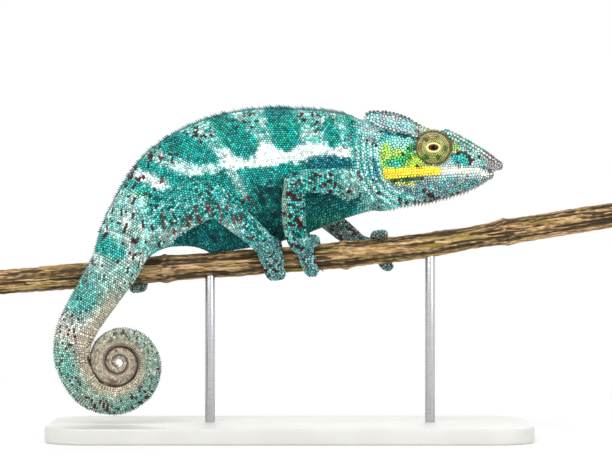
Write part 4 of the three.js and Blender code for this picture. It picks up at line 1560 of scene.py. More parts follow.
FORELEG_MARKS: list[Streak] = [
    *dots(Ink.MAROON, 1.15, (-9, 122), (-8, 121), (1.2, 126.6), (-5.6, 126.2), (-8, 110.6), (-4.6, 109.6),
          (-7, 107.2), (-3, 106.5)),
    *dots(Ink.MAROON, 0.85, (-6, 120.5), (-4, 128), (5.2, 126.8), (8.8, 126.4), (12, 122.6),
          (-10.6, 111.4), (-9, 98), (-1.4, 131.6), (-5.2, 131), (4.6, 130.8), (7, 130.6), (12, 130.8),
          (11.4, 128), (4.2, 124.4), (-4.6, 124.4), (-3.4, 118.6), (-5.8, 119.6), (-9.2, 117.2), (-7.4, 116.6),
          (-1.4, 114.4), (-0.4, 105), (-8.6, 99.6), (-6.6, 96.6), (-4.4, 96), (-1, 120),
          (17.8, 122.2), (21.4, 123), (14.4, 126), (-2, 95), (-7.6, 95.4)),
    *dots(Ink.MAROON, 0.6, (-10.8, 124), (-2.6, 122.4), (-6, 103), (-1, 99), (-5, 91), (1, 88.5),
          (0.4, 93), (-1.4, 87), (2, 82.8), (5.4, 86.4), (-3, 89), (-9.6, 106), (2.6, 98.2), strength=0.9),
]

HINDLEG_MARKS: list[Streak] = [
    *[
        Streak(Ink.RED, ((x, top, 0.55), (x + lean, top - long, 0.45)), 0.9, 0.4)
        for x, top, lean, long in (
            (-59, 112, 0.6, 6), (-57, 111, 0.3, 4), (-54.4, 115, 1.2, 3.4), (-52.8, 110.4, 0.8, 3),
            (-48.2, 116, 0.4, 4), (-43, 117, 0, 3), (-42.2, 111, 0.4, 3.6), (-38.6, 116.4, -0.4, 2.6),
            (-35, 110, -0.6, 2.4), (-31.8, 111.6, -1.2, 3.6), (-66, 108, 0.8, 6), (-71, 113, 0.8, 8),
            (-46, 113, 0.2, 2.4),
        )
    ],
    *dots(Ink.MAROON, 0.7, (-27.4, 120.8), (-25.6, 116.2), (-49, 126.4), (-45.6, 124.6), (-48.8, 123),
          (-38.8, 121.6), (-30, 109), (-26.4, 101), (-23, 106), (-22.6, 102.6), (-20.8, 98.8), (-18, 98.4),
          (-19.4, 92.4), (-17, 86), (-12.6, 87.6), (-29, 100.4), (-16, 84.4), (-13, 84.2), strength=0.85),
]


def painted(colour: Array, *coats: tuple[Ink, Array | float]) -> Array:
    """Lays coats of paint over colours, one after another.

    Args:
        colour: the colours so far, three a row.
        *coats: each coat's tone and how strongly it covers, one a row or one for all.

    Returns:
        The new colours.
    """
    for tone, cover in coats:
        colour = colour + (tone.rgb - colour) * np.clip(cover, 0, 1)[..., None]
    return colour


def speckled(places: Array, share: float, reach: Triple, seed: int) -> Array:
    """Scattered spots a few scales wide.

    Args:
        places: places in millimetres.
        share: how many of them a spot starts from.
        reach: how far a spot reaches along x, y and z.
        seed: which of the many such patterns.

    Returns:
        1 in a spot and 0 outside, one a row.
    """
    rng = np.random.default_rng(seed)
    scaled = places / np.array(reach)
    tree = tree_of(scaled)
    cover = np.zeros(len(places))
    for row in np.nonzero(rng.random(len(places)) < share)[0]:
        size = rng.uniform(0.75, 1.1)
        cover[[other for _, other, _ in tree.find_range(scaled[row].tolist(), size)]] = 1.0
    return cover


@dataclass
class Markings:
    """The pattern that skin and scales share. Each key of the stripe is its x, its top and its low edge."""

    hide: Hide
    stripe: tuple[Triple, ...] = (
        (-70, 137, 134), (-60, 139, 130), (-55, 137.5, 130), (-50, 138, 132), (-45, 143.5, 131.5),
        (-40, 144.5, 134.5), (-35, 141.5, 133.5), (-30, 140, 135), (-25, 145, 135), (-20, 147.5, 135),
        (-15, 145.5, 136), (-10, 143.5, 138), (-5, 145.5, 137), (0, 147, 138), (10, 147, 139.5),
        (22, 145, 139.5),
    )
    tail_bands: tuple[Pair, ...] = (
        (10.0, 0.2), (10.5, 0.5), (10.9, 0.85), (11.4, 0.75), (11.7, 0.3), (12.1, 0.0), (12.7, 0.0),
        (13.2, 0.35), (14.2, 0.55), (15.0, 0.2), (16.0, 0.4), (16.6, 0.5), (17.6, 0.3), (18.4, 0.2),
        (19.6, 0.3), (20.6, 0.2), (22.0, 0.15), (24, 0.1), (30, 0.05),
    )
    ridge: tuple[Pair, ...] = ((30, 163), (35, 163.4), (45, 162.2), (51, 159.7), (57, 156.3), (63, 154))

    def marked(
        self, colour: Array, marks: list[Streak], x: Array, z: Array, seen: Array | float = 1.0
    ) -> Array:
        """Lays marks in order over colours at x and z, as much of each as is seen."""
        return painted(colour, *((mark.tone, mark.cover(x, z) * seen) for mark in marks))

    def shaken(self, places: Array, grain: Array, loose: float, share: float = 1.0) -> tuple[Array, Array]:
        """The x and height of places, moved a little, so that the edges of marks are uneven.

        Args:
            places: places in millimetres.
            grain: a random number a row, from 0 to 1.
            loose: how far single scales stray over an edge, in millimetres.
            share: how much of the move is kept.

        Returns:
            The moved x and height.
        """
        x, z = places[:, 0], places[:, 2]
        near_x = x + 0.6 * wander(places, 3.4, 11) + 2 * loose * (grain * 7.13 % 1 - 0.5)
        near_z = z + 0.6 * wander(places, 3.4, 12) + 2 * loose * (grain * 13.7 % 1 - 0.5)
        return (near_x, near_z) if share == 1 else (x + share * (near_x - x), z + share * (near_z - z))

    def trunk(self, places: Array, grain: Array) -> Array:
        """The colours of the neck, trunk and tail base.

        Args:
            places: places in millimetres.
            grain: a random number a row, from 0 to 1.

        Returns:
            The colours as mixed.
        """
        x, z = self.shaken(places, grain, 0.7)
        xs, tops, lows = zip(*self.stripe)
        top, low = np.interp(x, xs, tops), np.interp(x, xs, lows)
        colour = painted(
            Ink.PALE.rgb,
            (Ink.MINT, 0.55 + 0.45 * wander(places, 9, 13) + 0.3 * (grain - 0.5)),
            (Ink.TURQUOISE, 0.7 * (grain < 0.3) * smooth(-84, -72, x)),
            (Ink.MINT, 0.6 * smooth(3.5, 0.5, z - top) * smooth(-74, -66, x)),
        )
        shade = smooth(-30, -22, x) * smooth(1, -6, x) * smooth(134, 124, z)
        fore = smooth(-2, 3, x)
        lower = painted(
            Ink.TEAL.rgb,
            (Ink.TURQUOISE, 0.75 * smooth(118, 134, z) * smooth(-12, -22, x) + 0.25 * (grain - 0.3)),
            (Ink.BRIGHT_TURQUOISE, 0.5 * (grain > 0.8) * smooth(112, 124, z)),
            (Ink.NIGHT, 0.66 * shade * (0.75 + 0.5 * wander(places, 7, 14))),
            (Ink.DEEP_TEAL, 0.65 * smooth(112, 100, z) * smooth(-8, -20, x)),
            (Ink.NIGHT, 0.35 * smooth(112, 102, z) * smooth(0.1, 0.6, wander(places, 6, 20))),
            (Ink.DEEP_TEAL, 0.6 * fore * smooth(112, 121, z)),
            (Ink.NIGHT, 0.25 * fore * smooth(132, 124, z)),
            (Ink.DARK_GREEN, 0.35 * fore * smooth(118, 106, z)),
        )
        under = smooth(0.7, -0.7, z - low) * smooth(-71, -64, x) * smooth(36, 30, x + (132 - z) * 0.4)
        colour = colour + (lower - colour) * under[:, None]
        stripe = smooth(0.8, -0.8, z - top) * smooth(-0.8, 0.8, z - low)
        stripe = stripe * smooth(-71, -66, x) * smooth(27, 22, x)
        colour = painted(colour, (Ink.WHITE, stripe * (0.95 - 0.35 * smooth(-36, -44, x))))
        slope = 0.35 * (-68 - x)
        rump = painted(
            Ink.MINT.rgb,
            (Ink.PALE, 0.5 + 0.5 * wander(places, 8, 15)),
            (Ink.TURQUOISE, 0.6 * (smooth(130 - slope, 120 - slope, z) * smooth(-80, -68, x))),
            (Ink.BEIGE, 0.2 * smooth(-78, -84, x) * smooth(112, 100, z)),
        )
        rear = smooth(-62, -72, x) * smooth(140, 128, z + 0.1 * (-70 - x))
        colour = self.marked(colour + (rump - colour) * rear[:, None], FLANK_MARKS, x, z)
        bars = smooth(0.35, 0.2, colour[:, 0]) * smooth(142, 147, z)
        spots = speckled(places, 0.06, (0.8, 1.2, 1.5), 16) * smooth(-68, -74, x) * smooth(146, 138, z)
        colour = painted(
            colour,
            (Ink.EMERALD, 0.6 * bars * smooth(-0.3, 0.5, wander(places, 7, 18))),
            (Ink.MAROON, 0.85 * spots),
            *self.pleats(places),
        )
        throat = smooth(30, 38, x) * smooth(119, 116, z)
        colour = painted(
            colour,
            (Ink.SLATE, 0.35 * throat),
            (Ink.MAROON, 0.8 * throat * smooth(0.6, 0.8, wander(places, 2.6, 17))),
        )
        return self.marked(colour, NECK_MARKS, x, z)

    def pleats(self, places: Array) -> list[tuple[Ink, Array]]:
        """The white and turquoise stripes along the folds of the neck.

        Args:
            places: places in millimetres.

        Returns:
            Their coats of paint.
        """
        x, z = places[:, 0], places[:, 2]
        away = self.hide.behind_cheek(places)
        pleats = smooth(-1, 0.5, away) * smooth(15, 10, away) * smooth(152, 145, z) * smooth(112.5, 115.5, z)
        pleats = pleats * smooth(60, 50, x)
        wave = self.hide.fold_wave(away)
        deep = smooth(-0.1, -0.7, wave) * (0.45 + 0.55 * smooth(-0.3, 0.3, wander(places, 5, 19)))
        return [
            (Ink.MINT, 0.8 * pleats),
            (Ink.WHITE, pleats * smooth(-0.1, 0.5, wave) * (0.62 - 0.25 * smooth(122, 116, z))),
            (Ink.TEAL, 0.8 * pleats * deep),
        ]

    def tail(self, places: Array, index: Array, theta: Array, grain: Array) -> Array:
        """The colours of the tail.

        Args:
            places: places in millimetres.
            index: station indexes along the body.
            theta: angles round it.
            grain: a random number a row, from 0 to 1.

        Returns:
            The colours as mixed.
        """
        back = np.cos(theta)
        inner = smooth(17.5, 22, index)
        bands = np.interp(index + 0.14 * wander(places, 9, 22), *zip(*self.tail_bands))
        dense = 0.35 + 0.65 * smooth(-0.2, 0.5, wander(places, 16, 23)) > 0.5
        spots = speckled(places, 0.05, (0.85, 1.2, 1.1), 24) * dense
        spots = spots + speckled(places, 0.035, (0.7, 1.0, 0.8), 25)
        # Painted shade, in umber, where the turns of the coil lie against each other.
        touching = smooth(0.55, 0.9, -back) * smooth(17, 18.5, index)
        touching = touching + smooth(0.75, 0.97, back) * smooth(20, 21, index)
        return painted(
            Ink.PALE.rgb,
            (Ink.MINT, 0.4 + 0.4 * wander(places, 6, 21) + 0.4 * (grain - 0.5)),
            (Ink.PALE, 0.7 * bump(index, 12.5, 0.8)),
            (Ink.WHITE, 0.45 * bump(index, 12.4, 0.9)),
            (Ink.LILAC, 0.3 * bump(index, 12.4, 0.9)),
            (Ink.BEIGE, 0.45 * smooth(12.0, 12.8, index) + 0.15 * smooth(14, 16, index)),
            (Ink.TURQUOISE, 0.78 * bands * (0.6 + 0.8 * grain) * smooth(-0.75, 0.1, back)),
            (Ink.BEIGE, 0.75 * smooth(0.1, -0.7, back)),
            (Ink.BEIGE, 0.75 * inner),
            (Ink.CREAM, 0.2 * inner),
            (Ink.BEIGE, 0.12),
            (Ink.MAROON, 0.85 * spots * smooth(-0.5, 0.2, back) * (1 - 0.75 * inner)),
            (Ink.UMBER, 0.6 * ((grain > 0.95) * smooth(-0.6, 0.3, back)) * (1 - 0.5 * inner)),
            (Ink.UMBER, 0.35 * (smooth(0.965, 1.0, -back) * smooth(13.5, 15, index))),
            # Painted shade between touching turns.
            (Ink.UMBER, 0.5 * touching),
        )

    def leg(self, region: Region, places: Array, part: Array, grain: Array) -> Array:
        """The colours of a leg.

        Args:
            region: which leg.
            places: places in millimetres.
            part: the form each grows on: 0 for the upper part, 1 the lower, 2 the palm and 3 the toes.
            grain: a random number a row, from 0 to 1.

        Returns:
            The colours as mixed.
        """
        x, z = self.shaken(places, grain, 0.3)
        right = region in (Region.FORE_RIGHT, Region.HIND_RIGHT)
        fore = region in (Region.FORE_RIGHT, Region.FORE_LEFT)
        outer = smooth(0, 4, np.abs(places[:, 1]) - 10)
        foot = smooth(1.4, 2.4, part)
        if right:
            coats = [
                (Ink.TURQUOISE, 0.55 + 0.5 * wander(places, 5, 31)),
                (Ink.MINT, np.where(grain > 0.62, 0.75, 0.1)),
            ]
        else:
            coats = [
                (Ink.TURQUOISE, 0.12),
                (Ink.MINT, np.where(grain > 0.62, 0.75, 0.1)),
                (Ink.BEIGE, 0.35 + 0.2 * wander(places, 5, 36)),
            ]
        coats += [(Ink.PALE, np.where(grain > 0.88, 0.8, 0.0)), (Ink.NIGHT, np.where(grain < 0.17, 0.6, 0.0))]
        if fore and right:
            coats += [
                (Ink.PALE, 0.85 * smooth(12, 22, x) * (0.75 + 0.25 * wander(places, 3, 32))),
                (Ink.BEIGE, 0.55 * smooth(-7, -10.4, x) * (z > 100)),
            ]
        elif right:
            coats += [
                (Ink.TURQUOISE, 0.45 * smooth(-48, -62, x) * smooth(116, 122, z)),
                (Ink.DEEP_TEAL, 0.3 * (part > 0.5) * (part < 1.5) * (grain < 0.6)),
                (Ink.PALE, 0.8 * smooth(111, 106.5, z + 0.12 * np.abs(x + 42)) * smooth(-28, -36, x)),
            ]
        colour = painted(
            (Ink.BRIGHT_TURQUOISE if right else Ink.SLATE).rgb,
            *coats,
            (Ink.SLATE, 0.85 * foot * (0.75 + 0.25 * wander(places, 4, 33))),
            (Ink.TEAL, 0.3 * foot * (grain < 0.4)),
            (Ink.PALE, 0.28 * foot),
        )
        if not right:
            spots = smooth(0.6, 0.72, wander(places, 4.2, 35)) * (part < 2)
            return painted(colour, (Ink.RED, 0.85 * spots))
        marks, seen = (FORELEG_MARKS, outer) if fore else (HINDLEG_MARKS, np.maximum(outer, 0.6))
        spots = smooth(0.72, 0.82, wander(places, 3.4, 34)) * (1 - outer)
        return painted(self.marked(colour, marks, x, z, seen), (Ink.MAROON, 0.85 * spots))

    def head(self, places: Array, grain: Array) -> Array:
        """The colours of the head.

        Args:
            places: places in millimetres.
            grain: a random number a row, from 0 to 1.

        Returns:
            The colours as mixed.
        """
        x, z = self.shaken(places, grain, 0.6, 0.4)
        aside = np.abs(places[:, 1])
        head = self.hide.head
        mouth, crest, around = head.mouth_at(x), head.crest_at(x), head.from_eye(places)
        helmet = smooth(-1.2, 0.4, z - crest) * smooth(62, 57, x)
        ridge = np.interp(x, *zip(*self.ridge))
        snout = smooth(68, 73, x) * smooth(136, 140, z)
        tip = smooth(86, 92, x) * smooth(133, 134.5, z)
        above = smooth(mouth - 0.5, mouth + 0.5, z)
        cheek = smooth(59, 55, x) * smooth(152, 149, z) * above * smooth(36.2, 38, x)
        colour = painted(
            Ink.MINT.rgb,
            (Ink.LILAC, 0.35 + 0.5 * wander(places, 3, 41) + 0.3 * (grain - 0.5)),
            (Ink.MINT, 0.75 * helmet),
            (Ink.BRIGHT_TURQUOISE, 0.7 * helmet * (grain > 0.52) * (0.7 + 0.4 * wander(places, 6, 42))),
            (Ink.PALE, 0.7 * helmet * (grain < 0.3)),
            (Ink.LILAC, 0.8 * helmet * (grain > 0.36) * (grain < 0.56)),
            (Ink.TEAL, 0.35 * helmet * (grain > 0.85)),
            (Ink.SLATE, 0.3 * helmet),
            (Ink.LILAC, 0.6 * bump(z, crest, 1.0) * smooth(60, 57, x)),
            (Ink.UMBER, 0.62 * smooth(-1.6, -0.4, z - ridge) * smooth(64, 60, x)),
            (Ink.OLIVE, 0.5 * bump(x, 60, 4) * smooth(152.5, 154, z)),
            (Ink.PALE, 0.6 * snout * (grain > 0.45)),
            (Ink.BRIGHT_TURQUOISE, 0.55 * snout * (grain < 0.24)),
            (Ink.BEIGE, 0.22 * snout),
            (Ink.LILAC, 0.7 * tip),
            (Ink.UMBER, 0.18 * tip),
            (Ink.MINT, 0.75 * cheek),
            (Ink.LIME, cheek * smooth(149, 143, z) * (0.85 + 0.25 * wander(places, 4, 43))),
            (Ink.DARK_GREEN, 0.3 * cheek * (grain > 0.7)),
        )
        jaw = painted(
            Ink.SLATE.rgb,
            (Ink.PALE, 0.15 + 0.35 * wander(places, 5, 44) + 0.5 * (grain - 0.4)),
            (Ink.BEIGE, 0.6 * smooth(87, 92, x)),
            (Ink.DEEP_TEAL, 0.3 * (grain > 0.2) * (grain < 0.45)),
            (Ink.UMBER, 0.16),
            (Ink.TEAL, 0.55 * smooth(60, 50, x) * smooth(124, 117, z)),
            (Ink.TURQUOISE, 0.5 * (grain > 0.85) * smooth(128, 122, z)),
        )
        colour = painted(
            colour + (jaw - colour) * smooth(0.3, -0.3, z - mouth)[:, None],
            (Ink.WHITE, 0.85 * bump(z - mouth, 0.9, 1.3) * smooth(64, 70, x) * smooth(92, 88, x)),
            (Ink.PALE, 0.7 * bump(z - mouth, -1.3, 1.0) * smooth(58, 66, x)),
            (Ink.PALE, 0.6 * smooth(12.6, 10.8, around) * smooth(146, 140, z)),
            # Painted shade in the groove round each turret.
            (Ink.UMBER, 0.55 * smooth(10.2, 9.4, around) * smooth(8.5, 10.5, aside)),
            (Ink.OLIVE, 0.6 * smooth(10.2, 9.0, around) * smooth(10.5, 8.5, aside)),
            *self.pleats(places),
        )
        # Painted shade in each nostril.
        nostril = np.hypot(x - head.nostril[0], z - head.nostril[1])
        return painted(self.marked(colour, HEAD_MARKS, x, z), (Ink.NIGHT, 0.8 * smooth(1.3, 0.7, nostril)))


# ---------------------------------------------------------------- the coat of scales


@dataclass
class Seeds:
    """Places where scales are to grow, one a row, with radii in millimetres and rises as shares of them."""

    roots: Array
    outward: Array
    ways: Array
    radii: Array
    rise: Array
    region: Array
    part: Array
    index: Array
    theta: Array

    @classmethod
    def at(
        cls, roots: Array, outward: Array, ways: Array | Triple, radii: Array | float, rise: Array | float,
        region: Region = Region.HEAD, part: float = 0, index: Array | float = 0.0, theta: Array | float = 0.0,
    ) -> "Seeds":
        """Seeds whose plain numbers are spread over every row.

        Args:
            roots: where to look for the skin, in millimetres.
            outward: which way is out.
            ways: which way the scales lie.
            radii: their radii.
            rise: their heights as a share of their radii.
            region: where they grow.
            part: which form of a leg.
            index: station indexes.
            theta: angles.

        Returns:
            The seeds.
        """
        outward, ways = (np.broadcast_to(v, roots.shape).copy() for v in (outward, ways))
        plain = (np.asarray(v, float) for v in (radii, rise, region, part, index, theta))
        return cls(roots, outward, ways, *(np.broadcast_to(v, (len(roots),)).copy() for v in plain))

    @classmethod
    def gathered(cls, lots: list["Seeds"]) -> "Seeds":
        """Several lots of seeds as one, in the same order."""
        return cls(*(np.concatenate([getattr(lot, name) for lot in lots]) for name in cls.__dataclass_fields__))

    def only(self, keep: Array) -> "Seeds":
        """The seeds that a mask or a list of rows picks."""
        return Seeds(*(getattr(self, name)[keep] for name in self.__dataclass_fields__))

    def of(self, *regions: Region) -> Array:
        """Which seeds grow in any of the regions."""
        return np.isin(self.region, regions)

    def __len__(self) -> int:
        """How many seeds there are."""
        return len(self.roots)


def spaced_round(form: Form, index: float, pitch: float, shift: float) -> Array:
    """Angles evenly spaced over a form's girth.

    Args:
        form: the form.
        index: the station index of the ring.
        pitch: how far apart they are, in millimetres.
        shift: where the first stands, as a share of the pitch.

    Returns:
        The angles.
    """
    theta = np.linspace(-math.pi, math.pi, 121)
    run = run_of(form.surface(np.full(len(theta), index), theta))
    count = max(int(round(run[-1] / pitch / 2)) * 2, 2)
    return np.interp((np.arange(count) + shift) / count * run[-1], run, theta)


def ringed(form: Form, region: Region, part: float, pitch: float, span: Pair, share: float = 0.0) -> Seeds:
    """Seeds in rings along a form, each ring half a step on from the last.

    Args:
        form: the form.
        region: where it is.
        part: which form of a leg it is.
        pitch: how far apart the scales are, in millimetres.
        span: the first and last station.
        share: where it isn't 0, the pitch is this share of the half girth, up to pitch.

    Returns:
        The seeds.
    """
    fine = np.linspace(*span, 900)
    lines = [form.line(fine, angle) for angle in (0, math.pi / 2, math.pi, -math.pi / 2)]
    step = np.mean([np.linalg.norm(np.diff(line, axis=0), axis=1) for line in lines], axis=0)
    thick = np.linalg.norm(lines[1] - lines[3], axis=1) / 2
    pitches = np.full(len(fine), pitch) if share == 0 else np.clip(share * thick, 0.42, pitch)
    count = np.concatenate([[0], np.cumsum(step / (0.87 * pitches[:-1]))])
    rings = []
    for k, index in enumerate(np.interp(np.arange(0.2, count[-1]), count, fine)):
        size = float(np.interp(index, fine, pitches))
        theta = spaced_round(form, index, size, 0.5 * (k % 2))
        rings.append((np.full(len(theta), index), theta, np.full(len(theta), size)))
    rows, angles, sizes = (np.concatenate(v) for v in zip(*rings))
    roots = form.surface(rows, angles)
    outward = roots - form.surface(rows, angles, 0.5)
    ahead = np.minimum(rows + 0.02, span[1])
    ways = form.surface(ahead, angles) - form.surface(ahead - 0.03, angles)
    return Seeds.at(roots, unit(outward), unit(ways), 0.6 * sizes, 0.62, region, part, rows, angles)


@dataclass
class Coat:
    """The scales over the skin."""

    hide: Hide
    skin: bpy.types.Mesh
    pitch: float = 1.27
    seam: float = 0.045
    knob: float = 0.86
    lip_lines: tuple[Triple, ...] = (
        (0.85, 1.5, 0.84), (-0.95, 1.5, 0.84), (2.2, 1.38, 0.74), (3.45, 1.3, 0.7), (-2.25, 1.36, 0.72),
        (4.6, 1.3, 0.7),
    )
    eye_rings: tuple[Pair, ...] = ((10.3, 0.5), (11.35, 0.6), (12.6, 0.66))
    eye_clear: float = 10.2
    mosaic_density: float = 14.0
    trunk_knobs: float = 0.012
    rump_pitch: float = 1.28
    tail_pitch: float = 1.24
    leg_pitches: Triple = (1.3, 1.24, 1.16)
    leg_knobs: Triple = (0.05, 0.06, 0.04)
    toe_pitch: float = 1.08

    def __post_init__(self) -> None:
        """Prepares the skin for finding the nearest place on it."""
        self.rng = np.random.default_rng(7)
        self.places = places_of(self.skin)
        self.normals = normals_of(self.skin)
        self.skin.calc_loop_triangles()
        self.triangles = read_rows(self.skin.loop_triangles, "vertices", 3, np.int32)
        self.tree = BVHTree.FromPolygons(self.places.tolist(), self.triangles.tolist())

    def settled(self, seeds: Seeds, reach: float = 1.7) -> Seeds:
        """Moves seeds onto the skin and drops those that are too far from it or face the wrong way.

        Args:
            seeds: the seeds.
            reach: how far a seed may move, in millimetres.

        Returns:
            The seeds that are left, with the skin's own outward direction.
        """
        hits = [self.tree.find_nearest(root, reach) for root in seeds.roots.tolist()]
        found = np.array([h[0] is not None for h in hits])
        face = np.array([h[2] or 0 for h in hits])
        normal = unit(self.normals[self.triangles[face]].mean(1))
        keep = found & (np.sum(normal * seeds.outward, axis=1) > 0.25)
        seeds.roots, seeds.outward = np.array([(h[0] or (0, 0, 0))[:] for h in hits]), normal
        return seeds.only(keep)

    def thinned(self, seeds: Seeds, share: float = 0.71) -> Seeds:
        """Drops each seed that stands too close to one before it.

        Args:
            seeds: the seeds, the most wanted first.
            share: how close two may be, as a share of the sum of their radii.

        Returns:
            The seeds that are left.
        """
        cell = 2.1 * share * float(seeds.radii.max())
        grid: dict[tuple[int, int, int], list[Quad]] = {}
        kept = []
        near = [(i, j, k) for i in (-1, 0, 1) for j in (-1, 0, 1) for k in (-1, 0, 1)]
        cells = np.floor(seeds.roots / cell).astype(int).tolist()
        for row, ((x, y, z), r, (a, b, c)) in enumerate(zip(seeds.roots.tolist(), seeds.radii.tolist(), cells)):
            if not any(
                (px - x) ** 2 + (py - y) ** 2 + (pz - z) ** 2 < (share * (r + pr)) ** 2
                for i, j, k in near
                for px, py, pz, pr in grid.get((a + i, b + j, c + k), ())
            ):
                grid.setdefault((a, b, c), []).append((x, y, z, r))
                kept.append(row)
        return seeds.only(np.array(kept))

    def cast(self, x: Array, z: Array, side: int) -> tuple[Array, Array]:
        """Finds the skin straight in from one side.

        Args:
            x: places along the animal.
            z: heights.
            side: -1 for its right side or 1 for its left.

        Returns:
            The places found and which of them were found.
        """
        way = Vector((0, -side, 0))
        hits = [self.tree.ray_cast(Vector((a, side * 40, b)), way)[0] for a, b in zip(x.tolist(), z.tolist())]
        return np.array([(h or (0, 0, 0))[:] for h in hits]), np.array([h is not None for h in hits])

    def lip_rows(self) -> list[Seeds]:
        """The rows of shields along the lips and round the eyes, the same on both sides.

        Returns:
            The seeds of each row.
        """
        lots = []
        head = self.hide.head
        for side in (-1, 1):
            for row, (above, pitch, radius) in enumerate(self.lip_lines):
                x = np.arange(40.5 + 0.5 * pitch * (row % 2), 93.5 if row < 2 else 86, pitch)
                x = x + self.rng.uniform(-0.08, 0.08, len(x))
                z = head.mouth_at(x) + above + self.rng.uniform(-0.05, 0.05, len(x))
                roots, found = self.cast(x, z, side)
                found &= (head.from_eye(roots) > self.eye_clear) & (np.abs(roots[:, 1]) > 1)
                lots.append(Seeds.at(roots[found], side * AXIS_Y, HEADWARD, radius, 0.6))
            for ring, radius in self.eye_rings:
                angle = np.arange(0, TAU, 2.02 * radius / ring)
                x = head.eye[0] + ring * np.cos(angle)
                z = head.eye[2] + 0.94 * ring * np.sin(angle)
                roots, found = self.cast(x, z, side)
                found &= np.abs(roots[:, 1]) > 5
                ways = np.stack([-np.sin(angle), 0 * angle, np.cos(angle)], -1)[found]
                lots.append(Seeds.at(roots[found], side * AXIS_Y, ways, radius, 0.62))
        return lots

    def crest_rows(self) -> list[Seeds]:
        """The knobs along the helmet's ridges and the bony rims of the snout.

        Returns:
            The seeds of each row.
        """
        head = self.hide.head
        x, ridge, crest, half = head.casque.read(np.linspace(0.1, head.casque.high - 0.4, 22))
        lots = [Seeds.at(np.stack([x, 0 * x, ridge], -1), AXIS_Z, (-1.0, 0, 0.1), 0.95, 1.1)]
        for side in (-1, 1):
            out = unit(np.array([0, side, 0.9]))
            lots.append(Seeds.at(np.stack([x, side * half, crest], -1), out, (-1.0, 0, 0.2), self.knob, 1.0))
        curve = head.rims.curve
        fine = np.linspace(0, curve.last, 600)
        for turn, lift in ((0.0, 0.0), (1.0, 0.4), (-1.0, 0.4), (1.9, 0.2)):
            index = paced(curve.at(fine), fine, 0.8 + lift, 1.72)
            at, along = curve.at(index), curve.along(index)
            out = squared(np.stack([0.55 + 0 * index, 0.5 * np.sign(at[:, 1]), 0.8 + 0 * index], -1), along)
            way = unit(out * math.cos(turn) + np.cross(along, out) * math.sin(turn))
            lots.append(Seeds.at(at + way * 1.7, way, -along, 0.82 + 0.1 * lift, 0.95))
        return lots

    def mosaic(self) -> Seeds:
        """The small irregular scales of the head, scattered at random over its skin.

        Returns:
            The seeds.
        """
        corners = self.places[self.triangles]
        x, _, z = corners.mean(1).T
        away = self.hide.behind_cheek(corners.mean(1))
        helmet = (z > 154.5 + 0.5 * (38 - x).clip(0)) & (x > 30)
        ours = ((x > 42.5) | ((away < 0.4) & (x > 35)) | helmet) & self.hide.head.clear_of_eye(corners.mean(1))
        corners = corners[ours & (x > 29) & (z > 108)]
        across = np.cross(corners[:, 1] - corners[:, 0], corners[:, 2] - corners[:, 0])
        area = np.linalg.norm(across, axis=1) / 2
        count = int(area.sum() * self.mosaic_density)
        face = self.rng.choice(len(corners), count, p=area / area.sum())
        a, b = self.rng.random((2, count, 1))
        flip = a + b > 1
        a, b = np.where(flip, 1 - a, a), np.where(flip, 1 - b, b)
        pick = corners[face]
        roots = pick[:, 0] + a * (pick[:, 1] - pick[:, 0]) + b * (pick[:, 2] - pick[:, 0])
        x, _, z = roots.T
        shield = smooth(-0.6, 0.6, z - self.hide.head.crest_at(x)) * smooth(60, 57, x)
        radii = 0.6 - 0.05 * smooth(121, 117, z) + 0.24 * smooth(68, 73, x) * smooth(138, 141, z)
        radii = radii + 0.26 * smooth(56, 53, x) * smooth(134, 136, z) + self.rng.uniform(-0.08, 0.1, len(x))
        radii = radii + (1.2 - radii) * shield
        order = np.argsort(-np.round(shield), kind="stable")
        rises = np.where(shield > 0.5, 0.42, 0.58)
        return Seeds.at(roots, unit(across[face]), HEADWARD, radii, rises).only(order)

    def body_rows(self) -> Seeds:
        """The scales of neck and trunk, in long rows from head to tail.

        Returns:
            The seeds.
        """
        spine = self.hide.spine
        theta = spaced_round(spine, 4.4, 0.9 * self.pitch, 0.5)
        fine = np.linspace(0.25, 7.9, 1500)
        run = run_of(spine.line(fine, 1.3))
        steps = np.arange(0, run[-1] / self.pitch)[None] + 0.5 * (np.arange(len(theta))[:, None] % 2)
        index = np.interp(steps * self.pitch, run, fine)
        angle = np.broadcast_to(theta[:, None], index.shape).ravel()
        index = index.ravel()
        roots = spine.surface(index, angle) + self.rng.uniform(-0.07, 0.07, (len(index), 3))
        outward = unit(roots - spine.surface(index, angle, 2.0))
        ways = unit(spine.surface(index + 0.05, angle) - spine.surface(index - 0.05, angle))
        return Seeds.at(roots, outward, ways, 0.59 * self.pitch, 0.62, Region.TRUNK, 0, index, angle)

    def knobs(self, seeds: Seeds, chance: float) -> Seeds:
        """A few of the seeds, grown into larger round scales.

        Args:
            seeds: the seeds to pick from.
            chance: the share that is picked.

        Returns:
            The larger scales.
        """
        some = seeds.only(self.rng.random(len(seeds)) < chance)
        some.radii = self.knob * self.rng.uniform(0.85, 1.15, len(some))
        some.rise = np.full(len(some), 0.7)
        return some

    def filler(self, seeds: Seeds, radius: float = 0.6) -> Seeds:
        """Small scales for the places that no row reaches, as in the armpits, the groin and the throat.

        Args:
            seeds: the scales so far.
            radius: the small scales' radius.

        Returns:
            The extra scales, each with the region and lie of its nearest neighbour.
        """
        tree = tree_of(seeds.roots)
        corners = self.places[self.triangles]
        centre = corners.mean(1)
        free = self.hide.head.clear_of_eye(centre) & (centre[:, 0] > -100)
        corners, centre = corners[free], centre[free]
        found = [tree.find(place)[1:] for place in centre.tolist()]
        nearest, away = (np.array(v) for v in zip(*found))
        bare = away > 0.8 * seeds.radii[nearest] + 0.55 * radius
        extra = seeds.only(nearest[bare])
        pick = corners[bare]
        extra.roots = centre[bare]
        extra.outward = unit(np.cross(pick[:, 1] - pick[:, 0], pick[:, 2] - pick[:, 0]))
        extra.radii, extra.rise = np.full(len(extra), radius), np.full(len(extra), 0.6)
        return extra.only(self.rng.permutation(len(extra)))

